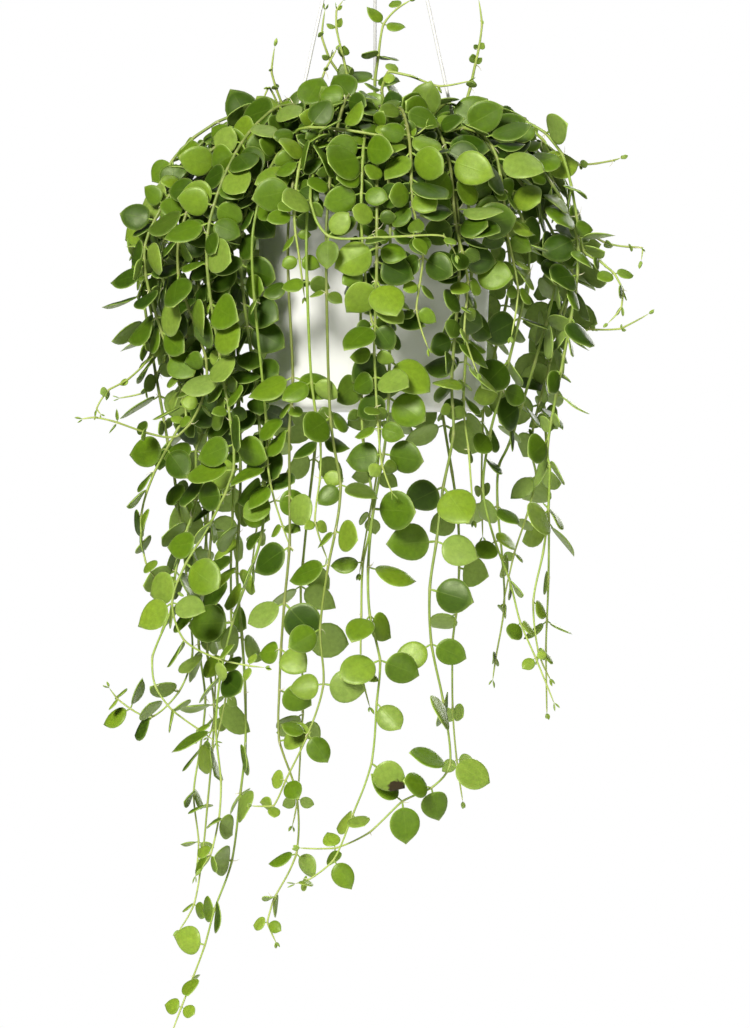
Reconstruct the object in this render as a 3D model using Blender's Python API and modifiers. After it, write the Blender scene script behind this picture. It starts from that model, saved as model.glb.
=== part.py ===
import math
import random

import bmesh
import bpy
from mathutils import Vector
from mathutils.bvhtree import BVHTree
from mathutils.kdtree import KDTree

# A trailing dischidia in a plain hanging pot. Lengths are in millimetres from the middle
# of the pot's rim, with z up. at() turns them into metres from the point that the hook
# hangs by, which is the origin of the model.
MM = 0.001
HANG_HEIGHT = 290.0

POT_HEIGHT = 132.0
POT_WALL = 2.5
POT_FLOOR = 3.0
POT_TOP_RADIUS = 71.5
POT_BASE_RADIUS = 66.0
POT_LIP_RADIUS = 75.0
POT_LIP_DEPTH = 6.0
POT_LIP_ROUND = 1.2
POT_FILLET = 5.0
POT_SIDES = 28
DRAIN_HOLES = 5
DRAIN_RADIUS = 3.5
DRAIN_CIRCLE = 40.0

SOIL_DEPTH = 18.0
SOIL_DOME = 5.0
SOIL_RINGS = (0.0, 34.0)
SOIL_BUMP = 0.9
CLEARANCE = 0.3

WIRE_RADIUS = 1.0
WIRE_HOLE_RADIUS = 1.7
WIRE_HOLE_Z = -10.0
WIRE_ANGLES = (90, 210, 330)
HUB_Z = 244.0
HUB_HEIGHT = 12.0
HUB_RADIUS = 7.0
HUB_WIRE_CIRCLE = 4.0
HUB_SOCKET = 6.5
HOOK_SOCKET = 4.0
HOOK_WIRE_RADIUS = 1.6
HOOK_INNER_RADIUS = 13.0
HOOK_TIP_ANGLE = 212

STEM_RADIUS = 1.05
STEM_TIP_RADIUS = 0.6
STEM_GAP = 5.0
ROOT_GAP = 7.0
ROOT_REACH = 56.0
ROOT_HOLE_RADIUS = 2.0
ROOT_DEPTH = 12.0
LEAF_LENGTH = 21.5
LEAF_WIDTH = 18.0
LEAF_THICKNESS = 1.0
ARC_SPACING = 16.0
SAMPLE_STEP = 4.0
# How far a faceted stem may stray from its smooth curve.
COARSE_STEM = 2.0
# The solids carry one leaf pair in this many, over the rim and below it.
ARC_SHARE = 6
HANGING_SHARE = 3

LEAF_GREEN = (0.13, 0.27, 0.035)
POT_WHITE = (0.86, 0.86, 0.84)
SOIL_BROWN = (0.045, 0.03, 0.02)
WIRE_WHITE = (0.8, 0.8, 0.78)

# Each hanging stem: depth at the top and at the tip, how far it bulges out over the rim,
# how high it arches, the size of its leaves, and the leaf joints (x, z) down its length.
HANGING = {
    "strand_left_1": (-40, -34, 14, 40, 1.0, [
        (-82, -93), (-81, -123), (-80, -150), (-80, -186), (-82, -228), (-79, -267),
        (-77, -300), (-77, -333), (-80, -360), (-85, -400), (-95, -428), (-101, -450),
        (-108, -469), (-115, -487), (-121, -503)]),
    "strand_left_2": (-62, -56, 10, 30, 1.0, [
        (-71, -114), (-68, -144), (-65, -174), (-67, -207), (-77, -237), (-84, -258),
        (-91, -289), (-94, -321), (-91, -351), (-92, -373), (-97, -395), (-103, -404)]),
    "strand_left_3": (-75, -82, 12, 48, 1.0, [
        (-89, -114), (-85, -139), (-83, -168), (-97, -200), (-111, -223), (-119, -246),
        (-112, -268), (-92, -279), (-74, -283), (-64, -284)]),
    "strand_left_4": (-30, -40, 24, 34, 0.9, [
        (-113, -129), (-117, -143), (-131, -169), (-139, -195), (-136, -223),
        (-126, -236), (-117, -241)]),
    "strand_left_5": (-8, -22, 24, 26, 1.0, [
        (-103, -132), (-107, -156), (-107, -186), (-113, -205), (-119, -228),
        (-122, -252), (-133, -279), (-131, -297), (-121, -311), (-106, -322), (-95, -330)]),
    "strand_left_6": (18, 4, 16, 44, 1.0, [
        (-125, -150), (-122, -165), (-119, -186), (-115, -216), (-112, -249),
        (-110, -279), (-118, -301), (-134, -316), (-147, -311), (-155, -305), (-160, -298)]),
    "strand_left_7": (42, 40, 20, 30, 1.0, [
        (-101, -144), (-101, -180), (-103, -216), (-106, -246), (-107, -273),
        (-103, -306), (-106, -336), (-110, -364), (-107, -393), (-109, -414)]),
    "strand_left_8": (14, 20, 28, 54, 1.0, [
        (-95, -150), (-97, -186), (-100, -222), (-102, -249), (-101, -279), (-97, -309),
        (-98, -336), (-101, -369), (-104, -399), (-109, -429), (-118, -445)]),
    "strand_left_9": (-18, -12, 20, 22, 0.9, [
        (-86, -156), (-85, -192), (-86, -222), (-86, -252), (-86, -279), (-89, -303),
        (-95, -331)]),
    "strand_left_10": (-74, -82, 12, 24, 1.1, [
        (-64, -138), (-63, -165), (-59, -186), (-50, -213)]),
    "strand_left_11": (-48, -62, 18, 20, 0.55, [
        (-100, -102), (-103, -129), (-117, -148), (-135, -146), (-152, -140),
        (-165, -137), (-173, -138)]),
    "strand_middle_1": (-92, -84, 6, 34, 1.0, [
        (-48, -114), (-50, -144), (-50, -183), (-50, -213), (-53, -246), (-55, -273),
        (-56, -297), (-56, -327), (-46, -357), (-46, -393), (-59, -419), (-63, -433),
        (-58, -445)]),
    "strand_middle_2": (-103, -100, 8, 42, 0.85, [
        (-37, -117), (-32, -150), (-32, -173), (-35, -198), (-28, -220)]),
    "strand_middle_3": (-110, -104, 10, 52, 0.9, [
        (-26, -138), (-20, -177), (-23, -204), (-27, -223), (-32, -261), (-30, -293),
        (-39, -322), (-52, -349), (-59, -364), (-72, -364)]),
    "strand_middle_4": (-97, -92, 6, 26, 1.0, [
        (-8, -114), (-7, -150), (-1, -191), (-7, -222), (-8, -253), (-8, -285), (-3, -307)]),
    "strand_middle_5": (-112, -116, 10, 36, 1.0, [
        (1, -114), (2, -144), (4, -165), (10, -182)]),
    "strand_middle_6": (-104, -112, 10, 46, 1.0, [
        (8, -126), (5, -159), (-1, -192), (-4, -225), (-3, -253), (3, -279), (1, -304),
        (-2, -339), (-13, -369), (-24, -395), (-39, -407), (-47, -409)]),
    "strand_right_1": (-84, -96, 10, 40, 1.05, [
        (45, -114), (46, -147), (40, -178), (36, -210), (32, -238), (33, -270),
        (40, -304), (44, -340), (33, -354), (16, -362), (-3, -380), (-23, -389), (-44, -389)]),
    "strand_right_2": (-72, -76, 8, 28, 1.0, [(52, -126), (55, -156), (58, -198)]),
    "strand_right_3": (-44, -50, 18, 50, 0.8, [
        (75, -120), (68, -147), (64, -180), (71, -210), (80, -234), (86, -258),
        (95, -279), (106, -306)]),
    "strand_right_4": (-20, -28, 26, 24, 0.8, [
        (83, -144), (74, -165), (73, -189), (76, -222), (77, -250), (72, -279), (70, -293)]),
    "strand_right_5": (16, 8, 24, 42, 0.9, [
        (95, -144), (97, -171), (91, -196), (84, -217), (77, -248)]),
    "strand_right_6": (-30, -38, 18, 32, 1.0, [
        (103, -150), (104, -165), (103, -192), (100, -217), (94, -246), (97, -276),
        (104, -292)]),
    "tendril_right_1": (-14, 6, 0, 38, 0.3, [(102, 19), (122, 15), (142, 18), (148, 20)]),
    "tendril_right_2": (20, 8, 0, 50, 0.35, [
        (120, -15), (138, -30), (153, -33), (161, -34), (160, -42)]),
    "tendril_right_3": (-30, -44, 0, 44, 0.6, [
        (124, -37), (133, -43), (142, -51), (147, -61), (146, -72), (138, -81)]),
    "tendril_right_4": (10, -10, 8, 34, 0.35, [
        (110, -82), (129, -83), (147, -83), (164, -74)]),
    "tendril_left_1": (-6, -30, 6, 46, 0.4, [
        (-132, -93), (-147, -113), (-159, -120), (-166, -131), (-163, -135)]),
    "tendril_left_2": (30, 26, 6, 38, 0.55, [
        (-126, -96), (-132, -109), (-138, -120), (-155, -124)]),
    "shoot_front_1": (-106, -108, 6, 20, 1.1, [(-47, -20), (-44, -45), (-41, -68)]),
    "shoot_front_2": (-116, -112, 8, 30, 1.1, [
        (-8, -22), (-6, -52), (-3, -82), (3, -104)]),
    "shoot_front_3": (-118, -112, 8, 44, 1.1, [
        (22, -15), (28, -45), (24, -75), (31, -98)]),
    "shoot_front_4": (-100, -96, 8, 22, 1.1, [
        (47, -25), (54, -58), (52, -88), (60, -112)]),
    "shoot_front_5": (-74, -74, 10, 34, 1.1, [(78, -30), (84, -62), (80, -90)]),
}

# Shoots that rise out of the crown: where each stands in the soil (x, y), the size of its
# leaves, and its leaf joints (x, y, z).
RISING = {
    "shoot_top_1": ((-38, 2), 0.35, [
        (-46, 0, 24), (-53, -2, 44), (-59, -4, 60), (-62, -6, 71), (-60, -8, 86)]),
    "shoot_top_2": ((-44, 14), 0.35, [
        (-50, 14, 24), (-57, 12, 47), (-64, 8, 62), (-68, 4, 52)]),
    "shoot_top_3": ((-10, 16), 0.4, [
        (-12, 14, 30), (-14, 12, 52), (-18, 10, 66), (-27, 8, 79), (-32, 6, 93), (-30, 4, 109)]),
    "shoot_top_4": ((-4, -6), 0.45, [
        (-8, -8, 28), (-13, -10, 50), (-16, -12, 66), (-19, -13, 79), (-23, -14, 96),
        (-23, -14, 107), (-19, -15, 113)]),
    "shoot_top_5": ((-26, -16), 0.35, [
        (-30, -18, 26), (-34, -20, 54), (-30, -21, 70), (-23, -22, 83)]),
    "shoot_top_6": ((8, 6), 0.75, [
        (4, 2, 24), (0, -2, 48), (0, -5, 66), (2, -7, 80), (5, -8, 99), (14, -10, 109),
        (21, -12, 113)]),
    "shoot_top_7": ((40, 2), 0.35, [
        (46, -2, 26), (53, -5, 48), (57, -6, 61), (60, -8, 75), (62, -9, 84), (64, -10, 99),
        (62, -11, 114)]),
    "shoot_top_8": ((14, -18), 0.5, [
        (10, -24, 30), (4, -28, 58), (8, -32, 69), (22, -35, 66), (38, -37, 60), (56, -38, 63)]),
    "runner_front_1": ((-24, -36), 0.7, [
        (-36, -56, 18), (-46, -78, 30), (-38, -92, 32), (-18, -99, 30), (2, -101, 27),
        (20, -101, 26), (30, -99, 33)]),
    "runner_front_2": ((-6, -42), 0.8, [
        (-20, -70, 28), (-34, -98, 14), (-38, -116, -12), (-27, -124, -33), (0, -128, -34),
        (22, -127, -33), (40, -122, -33), (47, -119, -44)]),
    "shoot_crown_1": ((30, 30), 1.1, [(36, 38, 24), (44, 52, 38), (58, 66, 34), (72, 74, 16)]),
    "shoot_crown_2": ((-22, 34), 1.1, [
        (-26, 42, 26), (-32, 56, 40), (-40, 70, 36), (-50, 84, 20)]),
}

# Stems that hang behind the pot: bearing, reach, drop below the rim, arch and bulge.
BEHIND = (
    (24, 112, 300, 46, 14),
    (46, 98, 190, 26, 22),
    (66, 108, 360, 52, 14),
    (88, 98, 240, 30, 20),
    (110, 108, 410, 44, 14),
    (132, 98, 215, 24, 22),
    (152, 112, 330, 50, 14),
)
BEHIND_SPACING = 29.0

# Stems that cross the front of the pot bare, so that the pot shows between them.
BARE_IN_FRONT = ("strand_left_10", "strand_middle_1", "strand_middle_2", "strand_middle_3",
                 "strand_middle_4")
BARE_BELOW = -18.0
# Where the curtains of leaves at the sides stay crowded, down to a height.
CROWDED_TO = {"strand_left": -250.0, "strand_right": -130.0, "strand_back": -160.0}
CROWDED_GAP = 20.0
MISSING_LEAVES = 0.07

# Blade outlines: distance along the leaf and half width at each step, as shares of the
# leaf's length and half width. The last step is the pointed tip.
BROAD_BLADE = ((0.34, 0.88), (0.74, 0.84))
BUD_BLADE = ((0.55, 1.0),)
BROAD_FROM = 12.5
LEAF_TRIES = 16
LEAF_MARGIN = 0.35

# How leaves differ at random: turns in degrees about the stem and about their own axis,
# and the rest as shares of a leaf's length or width.
PAIR_SWING = 22
PAIR_CROSS = 42
LEAF_ROLL = 40
LEAF_FORWARD = (0.0, 0.65)
LEAF_DROOP = (-0.1, 0.35)
LENGTH_SPREAD = (0.78, 1.1)
WIDTH_SPREAD = (0.88, 1.06)
BLADE_BEND = (-0.12, 0.05)
# How much further a leaf is turned when its first place is taken.
RETRY_TWIST = 10
RETRY_ROLL = 50
RETRY_FORWARD = (-0.2, 0.9)
RETRY_DROOP = (-0.3, 0.6)
RETRY_SHRINK = 0.03


def at(x, y, z):
    """A point given in millimetres from the rim, in metres from the hang point."""
    return Vector((x, y, z - HANG_HEIGHT)) * MM


def polar(radius, degrees, z):
    """A point at a bearing round the pot, in millimetres from the rim."""
    angle = math.radians(degrees)
    return Vector((radius * math.cos(angle), radius * math.sin(angle), z))


def mix(a, b, share):
    return a + (b - a) * share


def clear_scene():
    for item in list(bpy.data.objects):
        bpy.data.objects.remove(item)


def new_collection(name):
    group = bpy.data.collections.new(name)
    bpy.context.scene.collection.children.link(group)
    return group


def make_material(name, colour, roughness, metallic=0.0):
    """A plain Principled material of one colour."""
    material = bpy.data.materials.new(name)
    material.use_nodes = True
    shader = material.node_tree.nodes["Principled BSDF"]
    shader.inputs["Base Color"].default_value = (*colour, 1.0)
    shader.inputs["Roughness"].default_value = roughness
    shader.inputs["Metallic"].default_value = metallic
    material.diffuse_color = (*colour, 1.0)
    return material


def add_part(name, data, group, material):
    part = bpy.data.objects.new(name, data)
    group.objects.link(part)
    if material:
        data.materials.append(material)
    return part


def turned_part(name, profile, sides, group, material):
    """A turned solid from a profile of radius and height, axis to axis."""
    mesh = bpy.data.meshes.new(name)
    bm = bmesh.new()
    verts = [bm.verts.new(at(radius, 0, z)) for radius, z in profile]
    for first, second in zip(verts, verts[1:]):
        bm.edges.new((first, second))
    bm.to_mesh(mesh)
    bm.free()
    part = add_part(name, mesh, group, material)
    screw = part.modifiers.new("Turn", "SCREW")
    screw.steps = sides
    screw.render_steps = sides
    screw.use_merge_vertices = True
    screw.merge_threshold = 0.00001
    return part


def add_cutter(name, radius, length, place, sides, group, bearing=None):
    """A round cutter, upright or lying along a bearing round the pot."""
    bpy.ops.mesh.primitive_cylinder_add(
        vertices=sides, radius=radius * MM, depth=length * MM, location=at(*place))
    cutter = bpy.context.active_object
    cutter.name = name
    if bearing is not None:
        cutter.rotation_euler = (0.0, math.pi / 2, math.radians(bearing))
    for owner in list(cutter.users_collection):
        owner.objects.unlink(cutter)
    group.objects.link(cutter)
    cutter.hide_render = True
    cutter.display_type = "WIRE"
    return cutter


def cut_with(part, group):
    """Cuts a part with every cutter of a collection."""
    cut = part.modifiers.new("Cut", "BOOLEAN")
    cut.operation = "DIFFERENCE"
    cut.operand_type = "COLLECTION"
    cut.collection = group


def wall_radius(z):
    """The pot's outer radius below its lip."""
    return mix(POT_TOP_RADIUS, POT_BASE_RADIUS, -z / POT_HEIGHT)


def pot_inside(shrink):
    """The pot's inner floor, fillet and wall up to the lip, drawn in by a little."""
    floor = -POT_HEIGHT + POT_FLOOR + shrink
    inner = wall_radius(floor) - POT_WALL - shrink
    return [(0.0, floor), (inner - POT_FILLET, floor), (inner, floor + POT_FILLET)]


def make_pot(group, cutters, material):
    inside = pot_inside(0.0)
    lip_under = -POT_LIP_DEPTH
    profile = inside + [
        (POT_TOP_RADIUS - POT_WALL, -POT_LIP_ROUND),
        (POT_TOP_RADIUS - POT_WALL + POT_LIP_ROUND, 0.0),
        (POT_LIP_RADIUS - POT_LIP_ROUND, 0.0),
        (POT_LIP_RADIUS, -POT_LIP_ROUND),
        (POT_LIP_RADIUS, lip_under),
        (wall_radius(lip_under), lip_under - 0.6),
        (wall_radius(-POT_HEIGHT + POT_FILLET), -POT_HEIGHT + POT_FILLET),
        (POT_BASE_RADIUS - POT_FILLET + 1.0, -POT_HEIGHT),
        (0.0, -POT_HEIGHT),
    ]
    pot = turned_part("pot", profile, POT_SIDES, group, material)
    for index in range(DRAIN_HOLES):
        place = polar(DRAIN_CIRCLE, 360 * index / DRAIN_HOLES + 18, -POT_HEIGHT)
        add_cutter(f"drain_cutter_{index}", DRAIN_RADIUS, 10, place, 10, cutters)
    for index, bearing in enumerate(WIRE_ANGLES):
        place = polar(wall_radius(WIRE_HOLE_Z), bearing, WIRE_HOLE_Z)
        add_cutter(f"wire_cutter_{index}", WIRE_HOLE_RADIUS, 12, place, 8, cutters, bearing)
    cut_with(pot, cutters)
    return pot


def soil_height(x, y):
    """The height of the potting mix, domed towards the middle."""
    share = math.hypot(x, y) / POT_TOP_RADIUS
    return -SOIL_DEPTH + SOIL_DOME * (1 - share * share)


def make_soil(group, cutters, material, roots):
    """The potting mix: a turned solid with an uneven top and a plain hole for each stem."""
    rim = wall_radius(-SOIL_DEPTH) - POT_WALL - CLEARANCE
    profile = [(radius, soil_height(radius, 0)) for radius in SOIL_RINGS]
    profile += [(rim, -SOIL_DEPTH)] + pot_inside(CLEARANCE)[::-1]
    bm = bmesh.new()
    verts = [bm.verts.new(at(radius, 0, z)) for radius, z in profile]
    edges = [bm.edges.new(pair) for pair in zip(verts, verts[1:])]
    bmesh.ops.spin(bm, geom=verts + edges, axis=(0, 0, 1), cent=(0, 0, 0),
                   angle=math.tau, steps=POT_SIDES, use_merge=True)
    bmesh.ops.remove_doubles(bm, verts=bm.verts[:], dist=0.00001)
    draw = random.Random(3)
    for vert in bm.verts:
        if 0.001 < vert.co.xy.length < (rim - 1) * MM and vert.co.z > at(0, 0, -SOIL_DEPTH).z:
            vert.co.z += draw.uniform(-SOIL_BUMP, SOIL_BUMP) * MM
    bmesh.ops.recalc_face_normals(bm, faces=bm.faces[:])
    bmesh.ops.triangulate(bm, faces=bm.faces[:])
    mesh = bpy.data.meshes.new("soil")
    bm.to_mesh(mesh)
    bm.free()
    soil = add_part("soil", mesh, group, material)
    for index, root in enumerate(roots):
        place = (root.x, root.y, root.z - CLEARANCE + ROOT_DEPTH)
        add_cutter(f"stem_cutter_{index}", ROOT_HOLE_RADIUS, 2 * ROOT_DEPTH, place, 4, cutters)
    cut_with(soil, cutters)
    return soil


def root_bottom(root):
    return soil_height(root.x, root.y) - ROOT_DEPTH


def make_wire(name, points, radius, resolution, group, material):
    """A round wire through hand-set points, with closed ends."""
    curve = bpy.data.curves.new(name, "CURVE")
    curve.dimensions = "3D"
    curve.bevel_depth = radius * MM
    curve.bevel_resolution = resolution
    curve.use_fill_caps = True
    spline = curve.splines.new("POLY")
    spline.points.add(len(points) - 1)
    for point, place in zip(spline.points, points):
        point.co = (*at(*place), 1.0)
    return add_part(name, curve, group, material)


def hanger_wire_points(bearing):
    """From the hub down to the rim, out through the wall's hole and up outside it."""
    hole_z = WIRE_HOLE_Z + WIRE_HOLE_RADIUS - WIRE_RADIUS - CLEARANCE
    inner = wall_radius(hole_z) - POT_WALL
    outer = wall_radius(hole_z)
    profile = [
        (HUB_WIRE_CIRCLE, HUB_Z + HUB_SOCKET - CLEARANCE),
        (HUB_WIRE_CIRCLE, HUB_Z - 1.0),
        (HUB_WIRE_CIRCLE + 0.6, HUB_Z - 4.0),
        (inner - 4.0, hole_z + 7.0),
        (inner - 3.2, hole_z + 3.0),
        (inner - 2.0, hole_z + 0.9),
        (inner, hole_z),
        (outer + 2.6, hole_z),
        (outer + 4.9, hole_z + 0.9),
        (outer + 6.0, hole_z + 3.0),
        (outer + 6.2, hole_z + 8.0),
    ]
    return [polar(radius, bearing, z) for radius, z in profile]


def hook_points():
    """The ceiling hook, from its socket in the hub round to its open tip."""
    radius = HOOK_INNER_RADIUS + HOOK_WIRE_RADIUS
    middle = HANG_HEIGHT - HOOK_INNER_RADIUS
    hub_top = HUB_Z + HUB_HEIGHT
    points = [(0, 0, hub_top - HOOK_SOCKET), (0, 0, hub_top + 3.0), (1.2, 0, hub_top + 5.2)]
    steps = 18
    for step in range(steps + 1):
        angle = math.radians(mix(-72, HOOK_TIP_ANGLE, step / steps))
        points.append((radius * math.cos(angle), 0, middle + radius * math.sin(angle)))
    return points


def make_hanger(group, cutters, materials):
    profile = [
        (0.0, HUB_Z + HUB_HEIGHT),
        (HUB_RADIUS - 2.0, HUB_Z + HUB_HEIGHT),
        (HUB_RADIUS, HUB_Z + HUB_HEIGHT - 2.0),
        (HUB_RADIUS, HUB_Z),
        (0.0, HUB_Z),
    ]
    hub = turned_part("hanger_hub", profile, 12, group, materials["pot"])
    place = (0, 0, HUB_Z + HUB_HEIGHT - HOOK_SOCKET - CLEARANCE + 10.0)
    add_cutter("hook_socket", HOOK_WIRE_RADIUS + CLEARANCE, 20, place, 10, cutters)
    for index, bearing in enumerate(WIRE_ANGLES):
        place = polar(HUB_WIRE_CIRCLE, bearing, HUB_Z + HUB_SOCKET - 10.0)
        add_cutter(f"wire_socket_{index}", WIRE_RADIUS + CLEARANCE + 0.1, 20, place, 8, cutters)
        make_wire(f"hanger_wire_{index + 1}", hanger_wire_points(bearing), WIRE_RADIUS, 1,
                  group, materials["wire"])
    cut_with(hub, cutters)
    make_wire("hanger_hook", hook_points(), HOOK_WIRE_RADIUS, 1, group, materials["wire"])


def bearing_of(place):
    return math.degrees(math.atan2(place.y, place.x))


def arch_over_rim(first, root, arch, bulge):
    """Points that carry a stem from its root up and over the rim to where it hangs."""
    reach = math.hypot(first.x, first.y)
    root_reach = math.hypot(root.x, root.y)
    start = bearing_of(root)
    turn = (bearing_of(first) - start + 180) % 360 - 180
    steps = [
        (mix(root_reach, reach, 0.2), 0.25, 0.8 * arch),
        (mix(root_reach, reach, 0.5), 0.6, arch),
    ]
    if first.z < -10:
        steps.append((mix(root_reach, reach, 0.85), 0.85, 0.45 * arch + 3))
    if first.z < -45:
        steps.append((reach + 0.7 * bulge, 1.0, -16.0))
    if first.z < -80:
        steps.append((reach + bulge, 1.0, -52.0))
    return [polar(radius, start + share * turn, z) for radius, share, z in steps]


def hanging_points(places, depth_top, depth_tip, wave):
    """Adds the depth to leaf joints that were given by x and z."""
    points = []
    for index, (x, z) in enumerate(places):
        share = index / (len(places) - 1)
        depth = mix(depth_top, depth_tip, share) + 2.5 * math.sin(1.7 * index + wave)
        points.append(Vector((x, depth, z)))
    return points


def plan_stems():
    """Every stem's name, wanted root, leaf size, arch and its leaf joints below the arch."""
    stems = []
    for order, (name, spec) in enumerate(HANGING.items()):
        depth_top, depth_tip, bulge, arch, size, places = spec
        points = hanging_points(places, depth_top, depth_tip, order)
        reach = ROOT_REACH - 0.95 * (arch - 20)
        root = polar(reach, bearing_of(points[0]), 0)
        stems.append({"name": name, "root": root, "size": size, "arch": arch,
                      "bulge": bulge, "points": points})
    for order, (bearing, reach, drop, arch, bulge) in enumerate(BEHIND):
        draw = random.Random(100 + order)
        count = round((drop - 110) / BEHIND_SPACING) + 1
        points = []
        lean = draw.uniform(-0.05, 0.05)
        top = draw.uniform(-124, -100)
        for index in range(count):
            z = top - BEHIND_SPACING * index * draw.uniform(0.93, 1.07)
            wander = bearing + 180 * lean * index / count + 2.2 * math.sin(index * 0.9 + order)
            points.append(polar(reach + 3.5 * math.sin(0.8 * index + 2 * order), wander, z))
        root = polar(ROOT_REACH - 0.95 * (arch - 20), bearing, 0)
        stems.append({"name": f"strand_back_{order + 1}", "root": root, "size": 1.0,
                      "arch": arch, "bulge": bulge, "points": points})
    for name, (root, size, places) in RISING.items():
        stems.append({"name": name, "root": Vector((*root, 0)), "size": size, "arch": None,
                      "bulge": 0, "points": [Vector(place) for place in places]})
    return stems


def spread_roots(stems):
    """Moves the roots apart until each has room for its own hole in the soil."""
    roots = [stem["root"] for stem in stems]
    for _ in range(80):
        for index, root in enumerate(roots):
            for other in roots[:index]:
                apart = root - other
                if apart.length < ROOT_GAP:
                    apart = apart.normalized() if apart.length > 0.01 else Vector((1, 0, 0))
                    push = 0.5 * (ROOT_GAP - (root - other).length)
                    root += apart * push
                    other -= apart * push
            reach = math.hypot(root.x, root.y)
            if reach > ROOT_REACH + 3:
                root *= (ROOT_REACH + 3) / reach
    for root in roots:
        root.z = root_bottom(root)


def smooth_curve(keys):
    """Catmull-Rom samples through the keys, and the sample number of each key."""
    samples = [keys[0].copy()]
    marks = [0]
    for index in range(len(keys) - 1):
        before = keys[max(index - 1, 0)]
        start, end = keys[index], keys[index + 1]
        after = keys[min(index + 2, len(keys) - 1)]
        count = max(2, math.ceil((end - start).length / SAMPLE_STEP))
        for step in range(1, count + 1):
            t = step / count
            if index == 0:
                point = start.lerp(end, t)
            else:
                point = 0.5 * (2 * start + (end - before) * t
                               + (2 * before - 5 * start + 4 * end - after) * t * t
                               + (3 * start - before - 3 * end + after) * t * t * t)
            samples.append(point)
        marks.append(len(samples) - 1)
    return samples, marks


def trace_stem(stem):
    """Fills in the stem's curve and which samples are leaf joints."""
    root = stem["root"]
    keys = [root, Vector((root.x, root.y, -6.0))]
    if stem["arch"] is not None:
        keys += arch_over_rim(stem["points"][0], root, stem["arch"], stem["bulge"])
    first_joint = len(keys)
    keys += stem["points"]
    samples, marks = smooth_curve(keys)
    stem["samples"] = samples
    lowest = BARE_BELOW if stem["name"] in BARE_IN_FRONT else -POT_HEIGHT
    joints = []
    run = 0.5 * ARC_SPACING
    for index in range(marks[1] + 1, marks[first_joint] - 2):
        run += (samples[index] - samples[index - 1]).length
        spacing = ARC_SPACING if samples[index].z > -60 else 1.4 * ARC_SPACING
        if run >= spacing and (samples[index].z > lowest or index < marks[3]):
            joints.append(index)
            run = 0.0
    stem["arc_joints"] = len(joints)
    crowded = next((z for side, z in CROWDED_TO.items() if side in stem["name"]), 0.0)
    for low, high in zip(marks[first_joint:], marks[first_joint + 1:]):
        joints.append(low)
        between = (low + high) // 2
        if samples[high].z > crowded and (samples[high] - samples[low]).length > CROWDED_GAP:
            joints.append(between)
    stem["joints"] = joints
    stem["loose_from"] = marks[1]


def part_stems(stems, wires):
    """Pushes stems apart, and off the pot and the hanger's wires, without new kinks."""
    shifts = [[Vector() for _ in stem["samples"]] for stem in stems]
    wire_points = []
    for points in wires:
        for first, second in zip(points, points[1:]):
            count = max(1, round((second - first).length / SAMPLE_STEP))
            wire_points += [first.lerp(second, step / count) for step in range(count)]
    for _ in range(60):
        tree = KDTree(sum(len(row) for row in shifts) + len(wire_points))
        owners = []
        for number, stem in enumerate(stems):
            for index, sample in enumerate(stem["samples"]):
                tree.insert(sample + shifts[number][index], len(owners))
                owners.append(number)
        for point in wire_points:
            tree.insert(point, len(owners))
            owners.append(-1)
        tree.balance()
        for number, stem in enumerate(stems):
            row = shifts[number]
            for index in range(stem["loose_from"] + 1, len(row)):
                here = stem["samples"][index] + row[index]
                push = Vector()
                for place, found, distance in tree.find_range(here, STEM_GAP):
                    if owners[found] != number:
                        apart = here - place
                        if distance < 0.05:
                            apart = Vector((0.3, 1.0 if owners[found] < number else -1.0, 0.1))
                        share = 0.5 if owners[found] >= 0 else 1.0
                        push += apart.normalized() * (STEM_GAP - distance) * share
                reach = math.hypot(here.x, here.y)
                limit = POT_LIP_RADIUS + 4.0
                outside = here.z < 4 and index > stem["loose_from"] + 8
                if outside and here.z > -POT_HEIGHT - 4 and reach < limit:
                    push += Vector((here.x, here.y, 0)).normalized() * (limit - reach)
                row[index] += push * 0.5
            for index in range(stem["loose_from"] + 1, len(row)):
                after = row[min(index + 1, len(row) - 1)]
                row[index] = 0.5 * row[index] + 0.25 * (row[index - 1] + after)
    for number, stem in enumerate(stems):
        stem["samples"] = [a + b for a, b in zip(stem["samples"], shifts[number])]


def tangent_at(samples, index):
    ahead = samples[min(index + 1, len(samples) - 1)]
    return (ahead - samples[max(index - 1, 0)]).normalized()


def leaf_size(stem, order):
    """A leaf's length at a joint: full on old wood, less over the last three joints."""
    left = len(stem["joints"]) - order
    taper = {1: 0.45, 2: 0.66, 3: 0.84}.get(left, 1.0)
    on_arc = order < stem["arc_joints"]
    return LEAF_LENGTH * (1.05 if on_arc else stem["size"] * taper)


def light_at(place):
    """Where the light comes from: outward beside the pot, and more from above on top."""
    outward = Vector((place.x, place.y, 0))
    side = min(1.0, outward.length / 60)
    top = min(1.0, max(0.0, (place.z + 20) / 60))
    light = outward.normalized() * side * (1 - 0.45 * top)
    light.z = 0.45 + 0.4 * top
    return light.normalized()


def turn_about(vector, axis, degrees):
    angle = math.radians(degrees)
    return vector * math.cos(angle) + axis.cross(vector) * math.sin(angle)


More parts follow.
